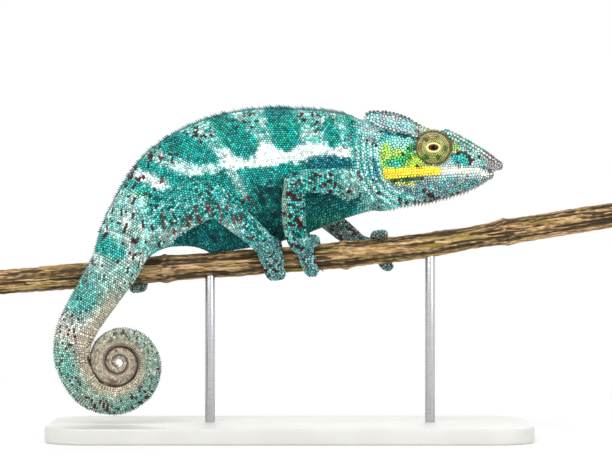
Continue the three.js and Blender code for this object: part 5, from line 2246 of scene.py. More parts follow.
    def sown(self) -> Seeds:
        """Settles all the seeds on the skin, thins them and sizes them by the room their neighbours leave.

        Returns:
            The seeds of every scale.
        """
        spine, tail_at = self.hide.spine, self.hide.spine.trunk_end
        lots = [self.settled(lot, 2.4) for lot in (*self.crest_rows(), *self.lip_rows())]
        mosaic = self.mosaic()
        legs, knobs = [], []
        for leg in self.hide.legs:
            for part, form in reversed(list(enumerate(leg.forms()))):
                if part > 2:
                    legs.append(self.settled(ringed(form, leg.region, 3, self.toe_pitch, (0.04, 0.99)), 1.5))
                    continue
                lot = ringed(form, leg.region, part, self.leg_pitches[part], (form.low, form.high))
                legs.append(self.settled(lot, 1.5))
                knobs.append(self.knobs(legs[-1], self.leg_knobs[part]))
        trunk = self.settled(self.body_rows())
        knobs.append(self.knobs(trunk, self.trunk_knobs))
        rump = self.settled(ringed(spine, Region.TRUNK, 0, self.rump_pitch, (7.55, tail_at)))
        tail = self.settled(
            ringed(spine, Region.TAIL, 0, self.tail_pitch, (tail_at, spine.high - 0.05), 0.15)
        )
        seeds = self.thinned(Seeds.gathered([*lots, *knobs, mosaic, *legs, trunk, rump, tail]))
        seeds = self.thinned(Seeds.gathered([seeds, self.filler(seeds)]))
        log.info("coat: %d scales", len(seeds))
        tree = tree_of(seeds.roots)
        room = np.array([np.mean([n[2] for n in tree.find_n(p, 6)[1:]]) for p in seeds.roots.tolist()])
        seeds.radii = np.clip(0.6 * room, 0.85 * seeds.radii, 1.25 * seeds.radii)
        rise = np.cos(seeds.theta)
        touching = spine.touching(seeds.index, rise) * seeds.of(Region.TAIL)
        facing = np.abs(rise) > 0.9
        seeds.rise = seeds.rise * (1 - 0.45 * touching * facing)
        return seeds.only(~(facing & (touching > 0.5) & (rise < 0)))

    def cells(self, seeds: Seeds, turns: Array) -> Array:
        """How far each scale reaches before it meets its neighbours.

        Args:
            seeds: the scales.
            turns: angles from the way each lies.

        Returns:
            The reach in millimetres, by scale, then by angle.
        """
        tree = tree_of(seeds.roots)
        others = np.array([[n[1] for n in tree.find_n(place, 10)[1:]] for place in seeds.roots.tolist()])
        normals = unit(seeds.outward)
        ways = squared(seeds.ways, normals)
        off = seeds.roots[others] - seeds.roots[:, None]
        along, aside = (np.sum(off * v[:, None], axis=-1) for v in (ways, np.cross(normals, ways)))
        radii = seeds.radii[:, None]
        facing = np.sum(normals[:, None] * normals[others], axis=-1) > 0.2
        limit = np.where(facing, np.hypot(along, aside) * (radii / (radii + seeds.radii[others])), 99.0)
        slant = np.cos(turns[None, None] - np.arctan2(aside, along)[..., None])
        reach = np.where(slant > 0.25, limit[..., None] / np.maximum(slant, 0.25), 99.0).min(1)
        return np.clip(reach, 0.55 * radii, 1.35 * radii) - self.seam

    def coloured(self, seeds: Seeds, markings: Markings) -> Array:
        """Mixes the scales' colours.

        Args:
            seeds: the scales.
            markings: the pattern.

        Returns:
            A colour for each scale.
        """
        grain = self.rng.random(len(seeds))
        colour = np.zeros((len(seeds), 3))
        tail_start = self.hide.spine.tail_start
        for region in Region:
            rows = np.nonzero(seeds.region == region)[0]
            lot, own = seeds.only(rows), grain[rows]
            if region is Region.HEAD:
                tone = markings.head(lot.roots, own)
            elif region is Region.TRUNK:
                tone = markings.trunk(lot.roots, own)
            elif region is Region.TAIL:
                blend = smooth(tail_start - 0.7, tail_start + 0.3, lot.index)[:, None]
                tone = markings.tail(lot.roots, lot.index, lot.theta, own) * blend
                tone = tone + markings.trunk(lot.roots, own) * (1 - blend)
            else:
                tone = markings.leg(region, lot.roots, lot.part, own)
            colour[rows] = tone
        middle = bump(colour.mean(1, keepdims=True), 0.42, 0.3) * (colour[:, :1] < colour[:, 1:2])
        near_head = seeds.of(Region.HEAD) | (np.abs(self.hide.behind_cheek(seeds.roots)) < 14)
        calm = np.where(near_head, 0.65, 1.0)[:, None]
        shade = 1 + calm * (0.26 + 0.3 * middle) * (self.rng.random((len(seeds), 1)) - 0.5)
        pale = (0.1 + 0.2 * middle) * (self.rng.random((len(seeds), 1)) > 0.8)
        return np.clip((colour + (Ink.PALE.rgb - colour) * pale) * shade, 0, 1)

    def unwrapped(self, seeds: Seeds) -> Array:
        """Each root's place on an unwrap of the skin.

        Args:
            seeds: the scales.

        Returns:
            Its share along the body or limb and its share round it.
        """
        spots = np.stack([seeds.index, (seeds.theta + math.pi) / TAU % 1], -1)
        on_head = seeds.of(Region.HEAD)
        x, y, z = seeds.roots[on_head].T
        spots[on_head] = np.stack([x, np.arctan2(y, z - 138) / TAU + 0.5], -1)
        kinds = seeds.region * 10 + seeds.part
        for kind in np.unique(kinds):
            rows = kinds == kind
            low, high = spots[rows, 0].min(), spots[rows, 0].max()
            spots[rows, 0] = (spots[rows, 0] - low) / max(high - low, 1e-6)
        return spots

    def tiled(self, seeds: Seeds, spots: Array) -> Array:
        """Lays the unwraps of a piece's regions side by side, so that none lies on another.

        Args:
            seeds: the piece's scales.
            spots: their places on the unwraps.

        Returns:
            Their places on the whole.
        """
        kinds = seeds.region * 10 + seeds.part
        names, slots = np.unique(kinds, return_inverse=True)
        return np.stack([(slots + 0.02 + 0.96 * spots[:, 0]) / len(names), spots[:, 1]], -1)

    def build(self, markings: Markings, finish: "HideFinish") -> None:
        """Lays all the scales as a few joined pieces, and their colours on the skin.

        Args:
            markings: the pattern.
            finish: the scales' finish.
        """
        seeds = self.sown()
        colour = self.coloured(seeds, markings)
        self.stain_skin(seeds, colour)
        spots = self.unwrapped(seeds)
        material = finish.build()
        pebble, shield = Stamp.pebble(), Stamp.shield()
        reach = self.cells(seeds, pebble.turns)
        right, right_leg = seeds.theta < 0, seeds.of(Region.FORE_RIGHT, Region.HIND_RIGHT)
        for name, place, on_right in (
            ("head", seeds.of(Region.HEAD), seeds.roots[:, 1] < 0),
            ("trunk", seeds.of(Region.TRUNK), right),
            ("tail", seeds.of(Region.TAIL), right),
            ("legs", seeds.region > Region.TAIL, right_leg),
        ):
            for side, rows in (("right", place & on_right), ("left", place & ~on_right)):
                lot = seeds.only(rows)
                sizes = np.stack([lot.radii, lot.radii, lot.radii * lot.rise], -1)
                lean = unit(lot.outward - 0.08 * lot.ways)
                tiles = self.tiled(lot, spots[rows])
                plot = Plot(lot.roots, lot.ways, lean, sizes, linear(colour[rows]), tiles)
                stamp = shield if name == "head" else pebble
                dressed(stamped(f"scales_{name}_{side}", stamp, plot, reach[rows]), material)

    def stain_skin(self, seeds: Seeds, colour: Array) -> None:
        """Gives every place on the skin the colour of the nearest scale, darker, as painted shade in the gaps
        between scales.

        Args:
            seeds: the scales.
            colour: their colours as mixed.
        """
        tree = tree_of(seeds.roots)
        nearest = np.array([tree.find(p)[1] for p in self.places.tolist()])
        # Painted shade between the scales, lighter under pale ones.
        under = colour[nearest] * (0.4 + 0.5 * colour[nearest].mean(1, keepdims=True))
        paint_mesh(self.skin, "tint", linear(under))
        paint_mesh(self.skin, "crown", np.full(len(under), 0.5))


# ---------------------------------------------------------------- crests, claws and eyes


@dataclass
class Crests:
    """The thorns along back, throat and belly."""

    hide: Hide
    spacing: float = 1.15
    throat_spacing: float = 1.75
    belly_spacing: float = 1.3
    sunk: float = 0.25
    back_span: Pair = (1.06, 24)
    throat_span: Pair = (42.5, 90)
    belly_span: Pair = (0.25, 6.6)
    belly_height: float = 0.8
    throat_mark: float = -1.0
    belly_mark: float = -100.0

    def rows(self) -> tuple[Array, Array, Array, Array, Array]:
        """Sets out the thorns.

        Returns:
            Their roots, outward directions, lie, heights and station indexes, below 0 underneath.
        """
        spine, jaw, depth = self.hide.spine, self.hide.head.jaw, self.hide.depth
        rng = np.random.default_rng(19)
        fine = np.linspace(*self.back_span, 4000)
        back = paced(spine.line(fine, 0.0), fine, 0, self.spacing)
        _, along, _, up = spine.axes(back)
        tall = spine.read("crest", back) * rng.uniform(0.7, 1.2, len(back)) * 1.2 + 0.25
        tall = np.maximum(tall, 0.35) * smooth(1.0, 1.8, back)
        lots = [(spine.line(back, 0.0, depth), up + 0.28 * along, along, tall, back)]
        x = np.arange(*self.throat_span, self.throat_spacing)
        chin = jaw.line(np.interp(x, jaw.xs, np.arange(len(jaw.xs))), math.pi, depth)
        down, rear = (np.tile(way, (len(x), 1)) for way in ((-0.12, 0, -1.0), HEADWARD))
        tall = (2.3 - 0.022 * np.abs(x - 64)) * rng.uniform(0.75, 1.12, len(x))
        lots.append((chin, down, rear, tall, np.full(len(x), self.throat_mark)))
        fine = np.linspace(*self.belly_span, 2000)
        belly = paced(spine.line(fine, math.pi), fine, 0, self.belly_spacing)
        _, along, _, up = spine.axes(belly)
        tall = self.belly_height * rng.uniform(0.75, 1.2, len(belly))
        lots.append((spine.line(belly, math.pi, depth), 0.2 * along - up, along, tall, belly + self.belly_mark))
        return tuple(np.concatenate([lot[k] for lot in lots]) for k in range(5))

    def build(self, markings: Markings, finish: "HideFinish") -> bpy.types.Object:
        """The thorns as one piece.

        Args:
            markings: the pattern.
            finish: their finish.

        Returns:
            The finished piece.
        """
        roots, out, ways, tall, index = self.rows()
        grain = np.random.default_rng(23).random(len(roots))
        colour = markings.trunk(roots, grain)
        tail = index > self.hide.spine.trunk_end
        colour[tail] = markings.tail(roots[tail], index[tail], 0 * index[tail], grain[tail])
        colour = painted(colour, (Ink.SLATE, (0.3 + 0.3 * grain) * (index > -1)))
        colour = painted(colour * 0.86, (Ink.PALE, 0.3 * (grain > 0.7) * (index > -1)))
        low = index < 0
        colour[low] = colour[low] * 0.2 + Ink.BEIGE.rgb * 0.4 + Ink.CREAM.rgb * 0.4
        roots = roots - unit(out) * self.sunk
        sizes = np.stack([0.85 + 0.34 * tall, 0.85 + 0.24 * tall, tall + self.sunk], -1)
        lane = 0.2 + 0.6 * (index < self.throat_mark) + 0.3 * (index == self.throat_mark)
        spots = np.stack([np.linspace(0, 1, len(roots)), lane], -1)
        piece = stamped("crest_thorns", Stamp.spine(), Plot(roots, ways, out, sizes, linear(colour), spots))
        return dressed(piece, finish.build())


@dataclass
class Claws:
    """The claws of all four feet."""

    legs: list[Leg]
    perch: Perch
    half_width: float = 0.9

    def build(self, finish: "HideFinish") -> bpy.types.Object:
        """The claws as one piece, in horn.

        Args:
            finish: horn.

        Returns:
            The piece.
        """
        pairs = [pair for leg in self.legs for bundle in leg.bundles for pair in bundle.claws()]
        roots, tips = (np.array(places) for places in zip(*pairs))
        length = np.linalg.norm(tips - roots, axis=1)
        axis, _, _ = self.perch.frame_at(tips[:, 0])
        width = np.full(len(length), self.half_width)
        sizes = np.stack([1.5 * width, 1.25 * width, 1.12 * length], -1)
        tints = linear(np.tile(Ink.UMBER.rgb * 1.2, (len(roots), 1)))
        spots = np.stack([np.linspace(0.05, 0.95, len(roots)), np.full(len(roots), 0.5)], -1)
        plot = Plot(roots, axis - tips, unit(tips - roots), sizes, tints, spots)
        return dressed(stamped("claws", Stamp.spine(), plot), finish.build())


@dataclass
class Eye:
    """A turret of grown-together lids with an eyeball behind its small opening.

    Each lip key is a radius and how far it lies below the turret's top, and each blotch its x and z about the
    turret's own axis, its reach, tone and strength.
    """

    centre: Triple = (63, 8.4, 144.8)
    radius: float = 9.8
    height: float = 8.9
    ball_radius: float = 4.6
    ball_depth: float = 0.6
    opening: float = 1.95
    flatten: float = 0.93
    granule: float = 0.44
    row_pitch: float = 0.81
    granule_pitch: float = 0.86
    bare_radius: float = 3.0
    granule_span: Pair = (0.3, 18.2)
    fold: float = 1.62
    spin_steps: int = 96
    bulge: float = 0.22
    bulge_share: float = 0.14
    lip: tuple[Pair, ...] = (
        (0, 2.1), (1.5, 1.9), (1.72, 1.1), (1.82, 0.62), (2.05, 0.28), (2.4, 0.1), (2.8, 0.14), (3.1, 0.34),
    )
    blotches: tuple[tuple[float, float, float, Ink, float], ...] = (
        (-3.6, -5.2, 2.4, Ink.DARK_GREEN, 0.8), (2.4, -5.4, 2.2, Ink.DARK_GREEN, 0.8),
        (5.8, -0.4, 2.2, Ink.DARK_GREEN, 0.7), (-3.4, 4.6, 1.9, Ink.UMBER, 0.65),
        (1.6, 5.6, 1.8, Ink.DARK_OLIVE, 0.6), (-7, 0.2, 2.4, Ink.DARK_OLIVE, 0.4),
        (2.6, 2.8, 1.2, Ink.DARK_GREEN, 0.4),
    )

    def profile(self) -> tuple[Array, Array]:
        """The turret's outline from inside the lids over its face to behind it.

        Returns:
            The radius and the outward height of each point.
        """
        angle = np.linspace(0.345, math.pi, 64)
        ahead = angle < math.pi / 2
        around = np.sin(angle) * self.radius * np.where(ahead, 1 - 0.1 * np.sin(2 * angle), 1)
        out = np.cos(angle) * self.height * np.where(ahead, 1, 0.5)
        ripple = 0.1 * np.cos(TAU * (angle * self.radius) / self.fold)
        ripple = ripple * smooth(0.36, 0.6, angle) * smooth(1.7, 1.5, angle)
        around, out = around + ripple * np.sin(angle), out + ripple * np.cos(angle)
        around[-1] = 0
        radii, depths = np.array(self.lip).T
        return np.concatenate([radii, around]), np.concatenate([self.height - depths, out])

    def stretched(self, flat: Array, side: int) -> Array:
        """Turns places about the turret's own axis into place on the head.

        Args:
            flat: places with the outward axis along +Z.
            side: -1 for the right eye or 1 for the left.

        Returns:
            Places in millimetres.
        """
        x, z, out = flat.T
        near = smooth(5.5, 2.2, np.hypot(x, z))
        x = x * (1 + 0.2 * near)
        z = z * (1 - 0.17 * near) * self.flatten
        cx, cy, cz = self.centre
        return np.stack([cx + x, side * (cy + out), cz + z], -1)

    def lids(self, side: int, name: str) -> bpy.types.Object:
        """The turret, spun from its outline.

        Args:
            side: -1 for the right or 1 for the left.
            name: the piece's name.

        Returns:
            The turret.
        """
        bm = bmesh.new()
        line = [bm.verts.new((r, 0, h)) for r, h in zip(*self.profile())]
        edges = [bm.edges.new(pair) for pair in zip(line[:-1], line[1:])]
        bmesh.ops.spin(
            bm, geom=[*line, *edges], cent=Vector(), axis=Vector((0, 0, 1)), angle=TAU, steps=self.spin_steps,
            use_merge=True,
        )
        bmesh.ops.remove_doubles(bm, verts=bm.verts, dist=MERGE)
        flat = np.array([v.co[:] for v in bm.verts])
        for vert, place in zip(bm.verts, self.stretched(flat, side)):
            vert.co = place
        bmesh.ops.recalc_face_normals(bm, faces=bm.faces)
        mesh = joined([bm], name)
        # Painted shade: the turret's skin between its granules is darker, but not the bare middle round the
        # opening.
        bare = smooth(3.6, 3.1, np.hypot(flat[:, 0], flat[:, 1]))
        colour = self.tone(flat, np.full(len(flat), 0.5))
        paint_mesh(mesh, "tint", linear(colour * (0.42 + 0.58 * bare)[:, None]))
        paint_mesh(mesh, "crown", 0.4 + 0.6 * bare)
        return object_of(mesh)

    def tone(self, flat: Array, grain: Array) -> Array:
        """The turret's colours.

        Args:
            flat: places about its own axis.
            grain: a random number a row, from 0 to 1.

        Returns:
            A colour a row.
        """
        x, z, out = flat.T
        ring = np.hypot(x, z)
        run = np.arccos(np.clip(out / self.height, -1, 1)) * self.radius
        uneven = 0.5 * wander(np.stack([x, z, 0 * x], -1), 2.2, 51)
        edge = smooth(-1.6, -0.5, out)
        upper = smooth(-6, 3, z + 0.5 * x)
        oval = ring * (1 + 0.12 * np.abs(z) / np.maximum(ring, 0.1))
        return painted(
            Ink.OLIVE.rgb,
            (Ink.CREAM, 0.22 * (grain > 0.55) + 0.1 * grain),
            (Ink.DARK_OLIVE, 0.42 * smooth(0.3, 0.9, np.cos(TAU * (run + 0.8) / self.fold))),
            *(
                (tone, strength * smooth(reach, 0.3 * reach, np.hypot(x - cx, z - cz) + uneven))
                for cx, cz, reach, tone, strength in self.blotches
            ),
            (Ink.LIME, 0.18 * smooth(2, -5, z)),
            (Ink.BEIGE, 0.45 * edge * smooth(9.1, 9.4, ring) * (1 - 0.7 * upper)),
            # Painted shade: a dark ring in the groove near the turret's rim, and on its upper side the seam
            # where it meets the head.
            (Ink.UMBER, 0.9 * edge * bump(ring, 8.75, 0.4)),
            (Ink.UMBER, 0.5 * edge * smooth(9.1, 9.6, ring) * upper),
            (Ink.PALE, 0.45 * (1 - edge)),
            (Ink.YELLOW, 0.26 * smooth(3.5, 2.6, oval)),
            (Ink.CREAM, 0.42 * smooth(2.95, 2.35, ring)),
            (Ink.UMBER, 0.95 * smooth(2.35, self.opening, ring)),
        )

    def granules(self, side: int, name: str) -> bpy.types.Object:
        """The small scales in rings over the turret.

        Args:
            side: -1 for the right or 1 for the left.
            name: the piece's name.

        Returns:
            The scales.
        """
        rng = np.random.default_rng(29)
        around, out = self.profile()
        start = int(np.argmax(around > self.bare_radius))
        around, out = around[start:], out[start:]
        run = np.concatenate([[0], np.cumsum(np.hypot(np.diff(around), np.diff(out)))])
        rows = []
        for k, distance in enumerate(np.arange(*self.granule_span, self.row_pitch)):
            (r, r2), (h, h2) = (np.interp([distance, distance + 0.3], run, v) for v in (around, out))
            slope = unit(np.array([r2 - r, h2 - h]))
            count = int(TAU * r / self.granule_pitch)
            turn = (np.arange(count) + 0.5 * (k % 2)) / count * TAU
            cos, sin = np.cos(turn), np.sin(turn)
            rows.append(
                [
                    np.stack([a * cos, a * sin, 0 * turn + b], -1)
                    for a, b in ((r, h), slope, (-slope[1], slope[0]))
                ]
            )
        flat, ways, normal = (np.concatenate(row) for row in zip(*rows))
        colour = self.tone(flat, rng.random(len(flat)))
        colour = colour * (1 + 0.2 * (rng.random((len(flat), 1)) - 0.5))
        ways, normal = (v[:, [0, 2, 1]] * [1, side, 1] for v in (ways, normal))
        size = self.granule * rng.uniform(0.92, 1.08, len(flat))
        sizes = np.stack([0.84 * size, 1.12 * size, 0.42 * size + 0.04], -1)
        spots = 0.5 + flat[:, :2] / (2.3 * self.radius)
        plot = Plot(self.stretched(flat, side), ways, normal, sizes, linear(colour), spots)
        return stamped(name, Stamp.pebble(6), plot)

    def ball(self, side: int, name: str) -> bpy.types.Object:
        """The eyeball with the bulge of its clear front.

        Args:
            side: -1 for the right or 1 for the left.
            name: the piece's name.

        Returns:
            The eyeball.
        """
        bm = bmesh.new()
        bmesh.ops.create_uvsphere(bm, u_segments=64, v_segments=48, radius=self.ball_radius)
        for vert in bm.verts:
            ahead = vert.co.z / self.ball_radius
            vert.co.z += self.bulge * max(0.0, (ahead - (1 - self.bulge_share)) / self.bulge_share)
        flat = np.array([v.co[:] for v in bm.verts])
        flat[:, 2] += self.height - self.ball_depth - self.ball_radius
        cx, cy, cz = self.centre
        for vert, (x, z, out) in zip(bm.verts, flat):
            vert.co = Vector((cx + x, side * (cy + out), cz + z))
        bmesh.ops.recalc_face_normals(bm, faces=bm.faces)
        mesh = joined([bm], name)
        paint_mesh(mesh, "ring", np.hypot(flat[:, 0], flat[:, 1]) / self.ball_radius)
        return object_of(mesh)

    def build(self, hide_finish: "HideFinish", ball_finish: "EyeFinish") -> None:
        """Both eyes in place.

        Args:
            hide_finish: the finish of the turrets.
            ball_finish: the finish of the eyeballs.
        """
        skin, ball = hide_finish.build(), ball_finish.build()
        for side, word in ((-1, "right"), (1, "left")):
            dressed(self.lids(side, f"turret_{word}"), skin, (f"eye_turret_{word}",))
            dressed(self.granules(side, f"turret_scales_{word}"), skin)
            dressed(self.ball(side, f"eye_{word}"), ball, (f"eyeball_{word}",))


# ---------------------------------------------------------------- the display stand


@dataclass
class Stand:
    """A flat base and two rods."""

    perch: Perch
    centre_x: float = -8
    length: float = 240
    width: float = 104
    thickness: float = 8
    corner: float = 22
    edge: float = 1.2
    rod_radius: float = 2.5
    rod_edge: float = 0.3
    rod_at: Pair = (-48, 62)
    corner_steps: int = 24
    edge_steps: int = 5
    rod_sides: int = 56
    rod_in_base: float = 6
    rod_in_perch: float = 3.5

    def base(self, finish: "LacquerFinish") -> bpy.types.Object:
        """The base board with rounded corners and eased edges.

        Args:
            finish: its finish.

        Returns:
            The piece.
        """
        bm = bmesh.new()
        bmesh.ops.create_cube(bm, size=1)
        bmesh.ops.scale(bm, vec=Vector((self.length, self.width, self.thickness)), verts=bm.verts)
        bmesh.ops.translate(bm, vec=Vector((self.centre_x, 0, self.thickness / 2)), verts=bm.verts)
        eased(bm, [e for e in bm.edges if rise_of(e) > 1], self.corner, self.corner_steps)
        rims = [e for e in bm.edges if abs(e.link_faces[0].normal.z - e.link_faces[1].normal.z) > 0.5]
        eased(bm, rims, self.edge, self.edge_steps)
        return dressed(object_of(joined([bm], "stand_board")), finish.build(), ("stand_base",))

    def rods(self, finish: "SteelFinish") -> None:
        """The two rods, each from the base into the branch.

        Args:
            finish: their finish.
        """
        material = finish.build()
        foot = self.thickness - self.rod_in_base
        for number, x in enumerate(self.rod_at, 1):
            at, _, _ = self.perch.frame_at(np.array(x))
            top = float(at[2] - self.perch.radius_at(np.array(x)) + self.rod_in_perch)
            bm = drum(self.rod_sides, self.rod_radius, self.rod_radius, top - foot, (x, 0, (top + foot) / 2))
            eased(bm, [e for e in bm.edges if rise_of(e) < 0.01], self.rod_edge, 2)
            rod = object_of(joined([bm], f"stand_rod_steel_{number}"))
            dressed(rod, material, (f"stand_rod_{number}",))


# ---------------------------------------------------------------- finishes


class Nodes:
    """Short ways to lay out shader nodes in a tree."""

    def __init__(self, tree: bpy.types.NodeTree) -> None:
        """Keeps the tree."""
        self.tree = tree

    def join(self, socket: Socket, value: object) -> None:
        """Sets an input or links it.

        Args:
            socket: the input.
            value: a value, or an output socket.
        """
        if isinstance(value, Socket):
            self.tree.links.new(value, socket)
        else:
            socket.default_value = value

    def add(self, kind: str, choices: dict[str, object] | None = None, **inputs: object) -> bpy.types.Node:
        """Adds a node.

        Args:
            kind: the node's type, without its first word Shader.
            choices: its own settings, by name.
            **inputs: a value or an output socket for each input, by its name with _ for a space.

        Returns:
            The node.
        """
        node = self.tree.nodes.new("Shader" + kind)
        for name, value in (choices or {}).items():
            setattr(node, name, value)
        for name, value in inputs.items():
            self.join(node.inputs[name.replace("_", " ")], value)
        return node

    def maths(self, operation: str, *values: object, clamp: bool = False) -> Socket:
        """A Math node.

        Args:
            operation: what it works out.
            *values: numbers or output sockets.
            clamp: whether it stays from 0 to 1.

        Returns:
            Its output.
        """
        node = self.add("NodeMath", {"operation": operation, "use_clamp": clamp})
        for socket, value in zip(node.inputs, values):
            self.join(socket, value)
        return node.outputs[0]

    def times(self, first: object, second: object) -> Socket:
        """One number or output times another."""
        return self.maths("MULTIPLY", first, second)

    def off_half(self, value: Socket) -> Socket:
        """How far a value is above a half."""
        return self.maths("SUBTRACT", value, 0.5)

    def mix(self, share: object, first: object, second: object, blend: str = "MIX") -> Socket:
        """A colour mix.

        Args:
            share: how much of the second.
            first: the colour under it.
            second: the colour over it.
            blend: how they mix.

        Returns:
            The mixed colour.
        """
        node = self.add("NodeMix", {"data_type": "RGBA", "blend_type": blend})
        for number, value in ((0, share), (6, first), (7, second)):
            self.join(node.inputs[number], value)
        return node.outputs[2]

    def spread(
        self, value: Socket, low: float, high: float, to_low: float = 0.0, to_high: float = 1.0
    ) -> Socket:
        """A smooth Map Range from low and high to two new ends."""
        ends = {"Value": value, "From_Min": low, "From_Max": high, "To_Min": to_low, "To_Max": to_high}
        return self.add("NodeMapRange", {"interpolation_type": "SMOOTHSTEP"}, **ends).outputs[0]

    def place(self) -> Socket:
        """Object coordinates."""
        return self.add("NodeTexCoord").outputs["Object"]

    def stretched(self, scale: Triple, turn: float = 0.0) -> Socket:
        """Object coordinates, scaled along each axis and turned about Y."""
        return self.add("NodeMapping", Vector=self.place(), Rotation=(0, turn, 0), Scale=scale).outputs[0]

    def noise(self, place: Socket, scale: object = 1.0, detail: float = 3.0) -> Socket:
        """A noise over places, about 0.3 to 0.7."""
        return self.add("NodeTexNoise", Vector=place, Scale=scale, Detail=detail).outputs[0]

    def stored(self, name: str, output: str = "Fac") -> Socket:
        """What is stored at each vertex under a name."""
        return self.add("NodeAttribute", {"attribute_name": name}).outputs[output]

    def seen(self) -> Socket:
        """Tells what the camera sees from what only lights the scene.

        Returns:
            1 for what is seen, straight or in a gloss or a glass.
        """
        path = self.add("NodeLightPath").outputs
        seen = self.maths("MAXIMUM", path["Is Camera Ray"], path["Is Glossy Ray"])
        return self.maths("MAXIMUM", seen, path["Is Transmission Ray"])


class Surface(Nodes):
    """A new material with its nodes and its shader."""

    def __init__(self, name: str) -> None:
        """Makes the material.

        Args:
            name: its name.
        """
        self.material = bpy.data.materials.new(name)
        self.material.use_nodes = True
        super().__init__(self.material.node_tree)
        self.shader = self.tree.nodes["Principled BSDF"]

    def finished(self, colour: Socket, roughness: object, **others: object) -> bpy.types.Material:
        """Dresses the shader.

        Args:
            colour: its colour.
            roughness: its roughness.
            **others: its other inputs, by name with _ for a space.

        Returns:
            The material.
        """
        for name, value in {"Base_Color": colour, "Roughness": roughness, **others}.items():
            self.join(self.shader.inputs[name.replace("_", " ")], value)
        return self.material

    def relief(self, strength: float, distance: float, height: Socket) -> Socket:
        """The normal of a surface raised by a height, over a distance in metres."""
        return self.add("NodeBump", Strength=strength, Distance=distance, Height=height).outputs[0]


def rgba(red: int, green: int, blue: int) -> Quad:
    """A colour from 0 to 255 a part as a shader's linear colour."""
    return (*linear(ink(red, green, blue)), 1.0)


def hide_group() -> bpy.types.NodeTree:
    """Shared by grown skin and horn: fine mottling, painted shade at each scale's foot and painted light and
    glint on its top.

    Returns:
        The node group, made once.
    """
    name = "grown_hide"
    if name in bpy.data.node_groups:
        return bpy.data.node_groups[name]
    tree = bpy.data.node_groups.new(name, "ShaderNodeTree")
    numbers = {"Crown": 0.5, "Grain": 1500.0, "Mottle": 0.2, "Foot": 0.6, "Dull": 0.5, "Peak": 0.0}
    for socket, value in {"Tint": (0.5, 0.5, 0.5, 1), **numbers}.items():
        kind = "NodeSocketFloat" if socket in numbers else "NodeSocketColor"
        tree.interface.new_socket(socket, in_out="INPUT", socket_type=kind).default_value = value
    for socket in ("Colour", "Roughness", "Height"):
        kind = "NodeSocketColor" if socket == "Colour" else "NodeSocketFloat"
        tree.interface.new_socket(socket, in_out="OUTPUT", socket_type=kind)
    n = Nodes(tree)
    given, out = tree.nodes.new("NodeGroupInput").outputs, tree.nodes.new("NodeGroupOutput").inputs
    place = n.place()
    fine = n.noise(place, given["Grain"])
    broad = n.noise(place, 160.0, 2.0)
    swing = n.times(n.maths("ADD", n.off_half(fine), n.off_half(broad)), given["Mottle"])
    # Painted shade: each scale is darkest at its foot and painted lighter towards its top.
    crown = n.spread(given["Crown"], 0.3, 1.0)
    foot = n.maths("ADD", given["Foot"], n.times(crown, n.maths("SUBTRACT", 1.4, given["Foot"])))
    value = n.times(foot, n.maths("ADD", 1.0, n.times(swing, 2.0)))
    shade = n.add("NodeCombineColor", Red=value, Green=value, Blue=value).outputs[0]
    colour = n.mix(1.0, given["Tint"], shade, "MULTIPLY")
    # Painted glint: the very top of each scale is mixed towards a pale, near-white version of its tint.
    glint = n.times(n.spread(given["Crown"], 0.8, 1.0), given["Peak"])
    bright = n.mix(1.0, given["Tint"], (2.1, 2.0, 2.0, 1), "MULTIPLY")
    worn = n.maths("SUBTRACT", given["Dull"], n.times(crown, 0.12))
    n.join(out["Colour"], n.mix(glint, colour, n.mix(0.12, bright, rgba(240, 250, 246))))
    n.join(out["Roughness"], n.maths("ADD", worn, n.times(n.off_half(fine), 0.5), clamp=True))
    n.join(out["Height"], fine)
    return tree


@dataclass(frozen=True)
class HideFinish:
    """Skin, scales, thorns or horn, coloured by the stored tint."""

    name: str
    dull: float = 0.5
    grain: float = 1500.0
    mottle: float = 0.2
    # The brightness left at each scale's foot under its painted shade.
    foot: float = 0.6
    bump: float = 0.15
    bump_height: float = 0.0004
    sheen: float = 0.2
    # The strength of the painted glint on each scale's top.
    glint: float = 0.0

    def build(self) -> bpy.types.Material:
        """Mixes the finish.

        Returns:
            The material.
        """
        n = Surface(self.name)
        group = n.add(
            "NodeGroup", {"node_tree": hide_group()}, Tint=n.stored("tint", "Color"), Crown=n.stored("crown"),
            Grain=self.grain, Mottle=self.mottle, Foot=self.foot, Dull=self.dull, Peak=self.glint,
        ).outputs
        normal = n.relief(self.bump, self.bump_height, group["Height"])
        return n.finished(group["Colour"], group["Roughness"], Normal=normal, Specular_IOR_Level=self.sheen)


@dataclass(frozen=True)
class EyeFinish:
    """A wet eyeball: black pupil, thin golden ring and dark brown round it."""

    name: str = "eyeball_wet"
    pupil: float = 0.26
    iris: float = 0.37
    sheen: float = 0.12

    def build(self) -> bpy.types.Material:
        """Mixes the finish.

        Returns:
            The material.
        """
        n = Surface(self.name)
        ring = n.stored("ring")
        fleck = n.noise(n.place(), 1400.0, 4.0)
        iris = n.mix(n.spread(fleck, 0.35, 0.65), rgba(66, 26, 14), rgba(150, 92, 34))
        colour = n.mix(n.spread(ring, self.pupil - 0.02, self.pupil + 0.03), rgba(6, 6, 12), iris)
        colour = n.mix(n.spread(ring, self.iris - 0.04, self.iris + 0.04), colour, rgba(38, 16, 12))
        return n.finished(colour, n.spread(fleck, 0.3, 0.7, 0.05, 0.1), Specular_IOR_Level=self.sheen)


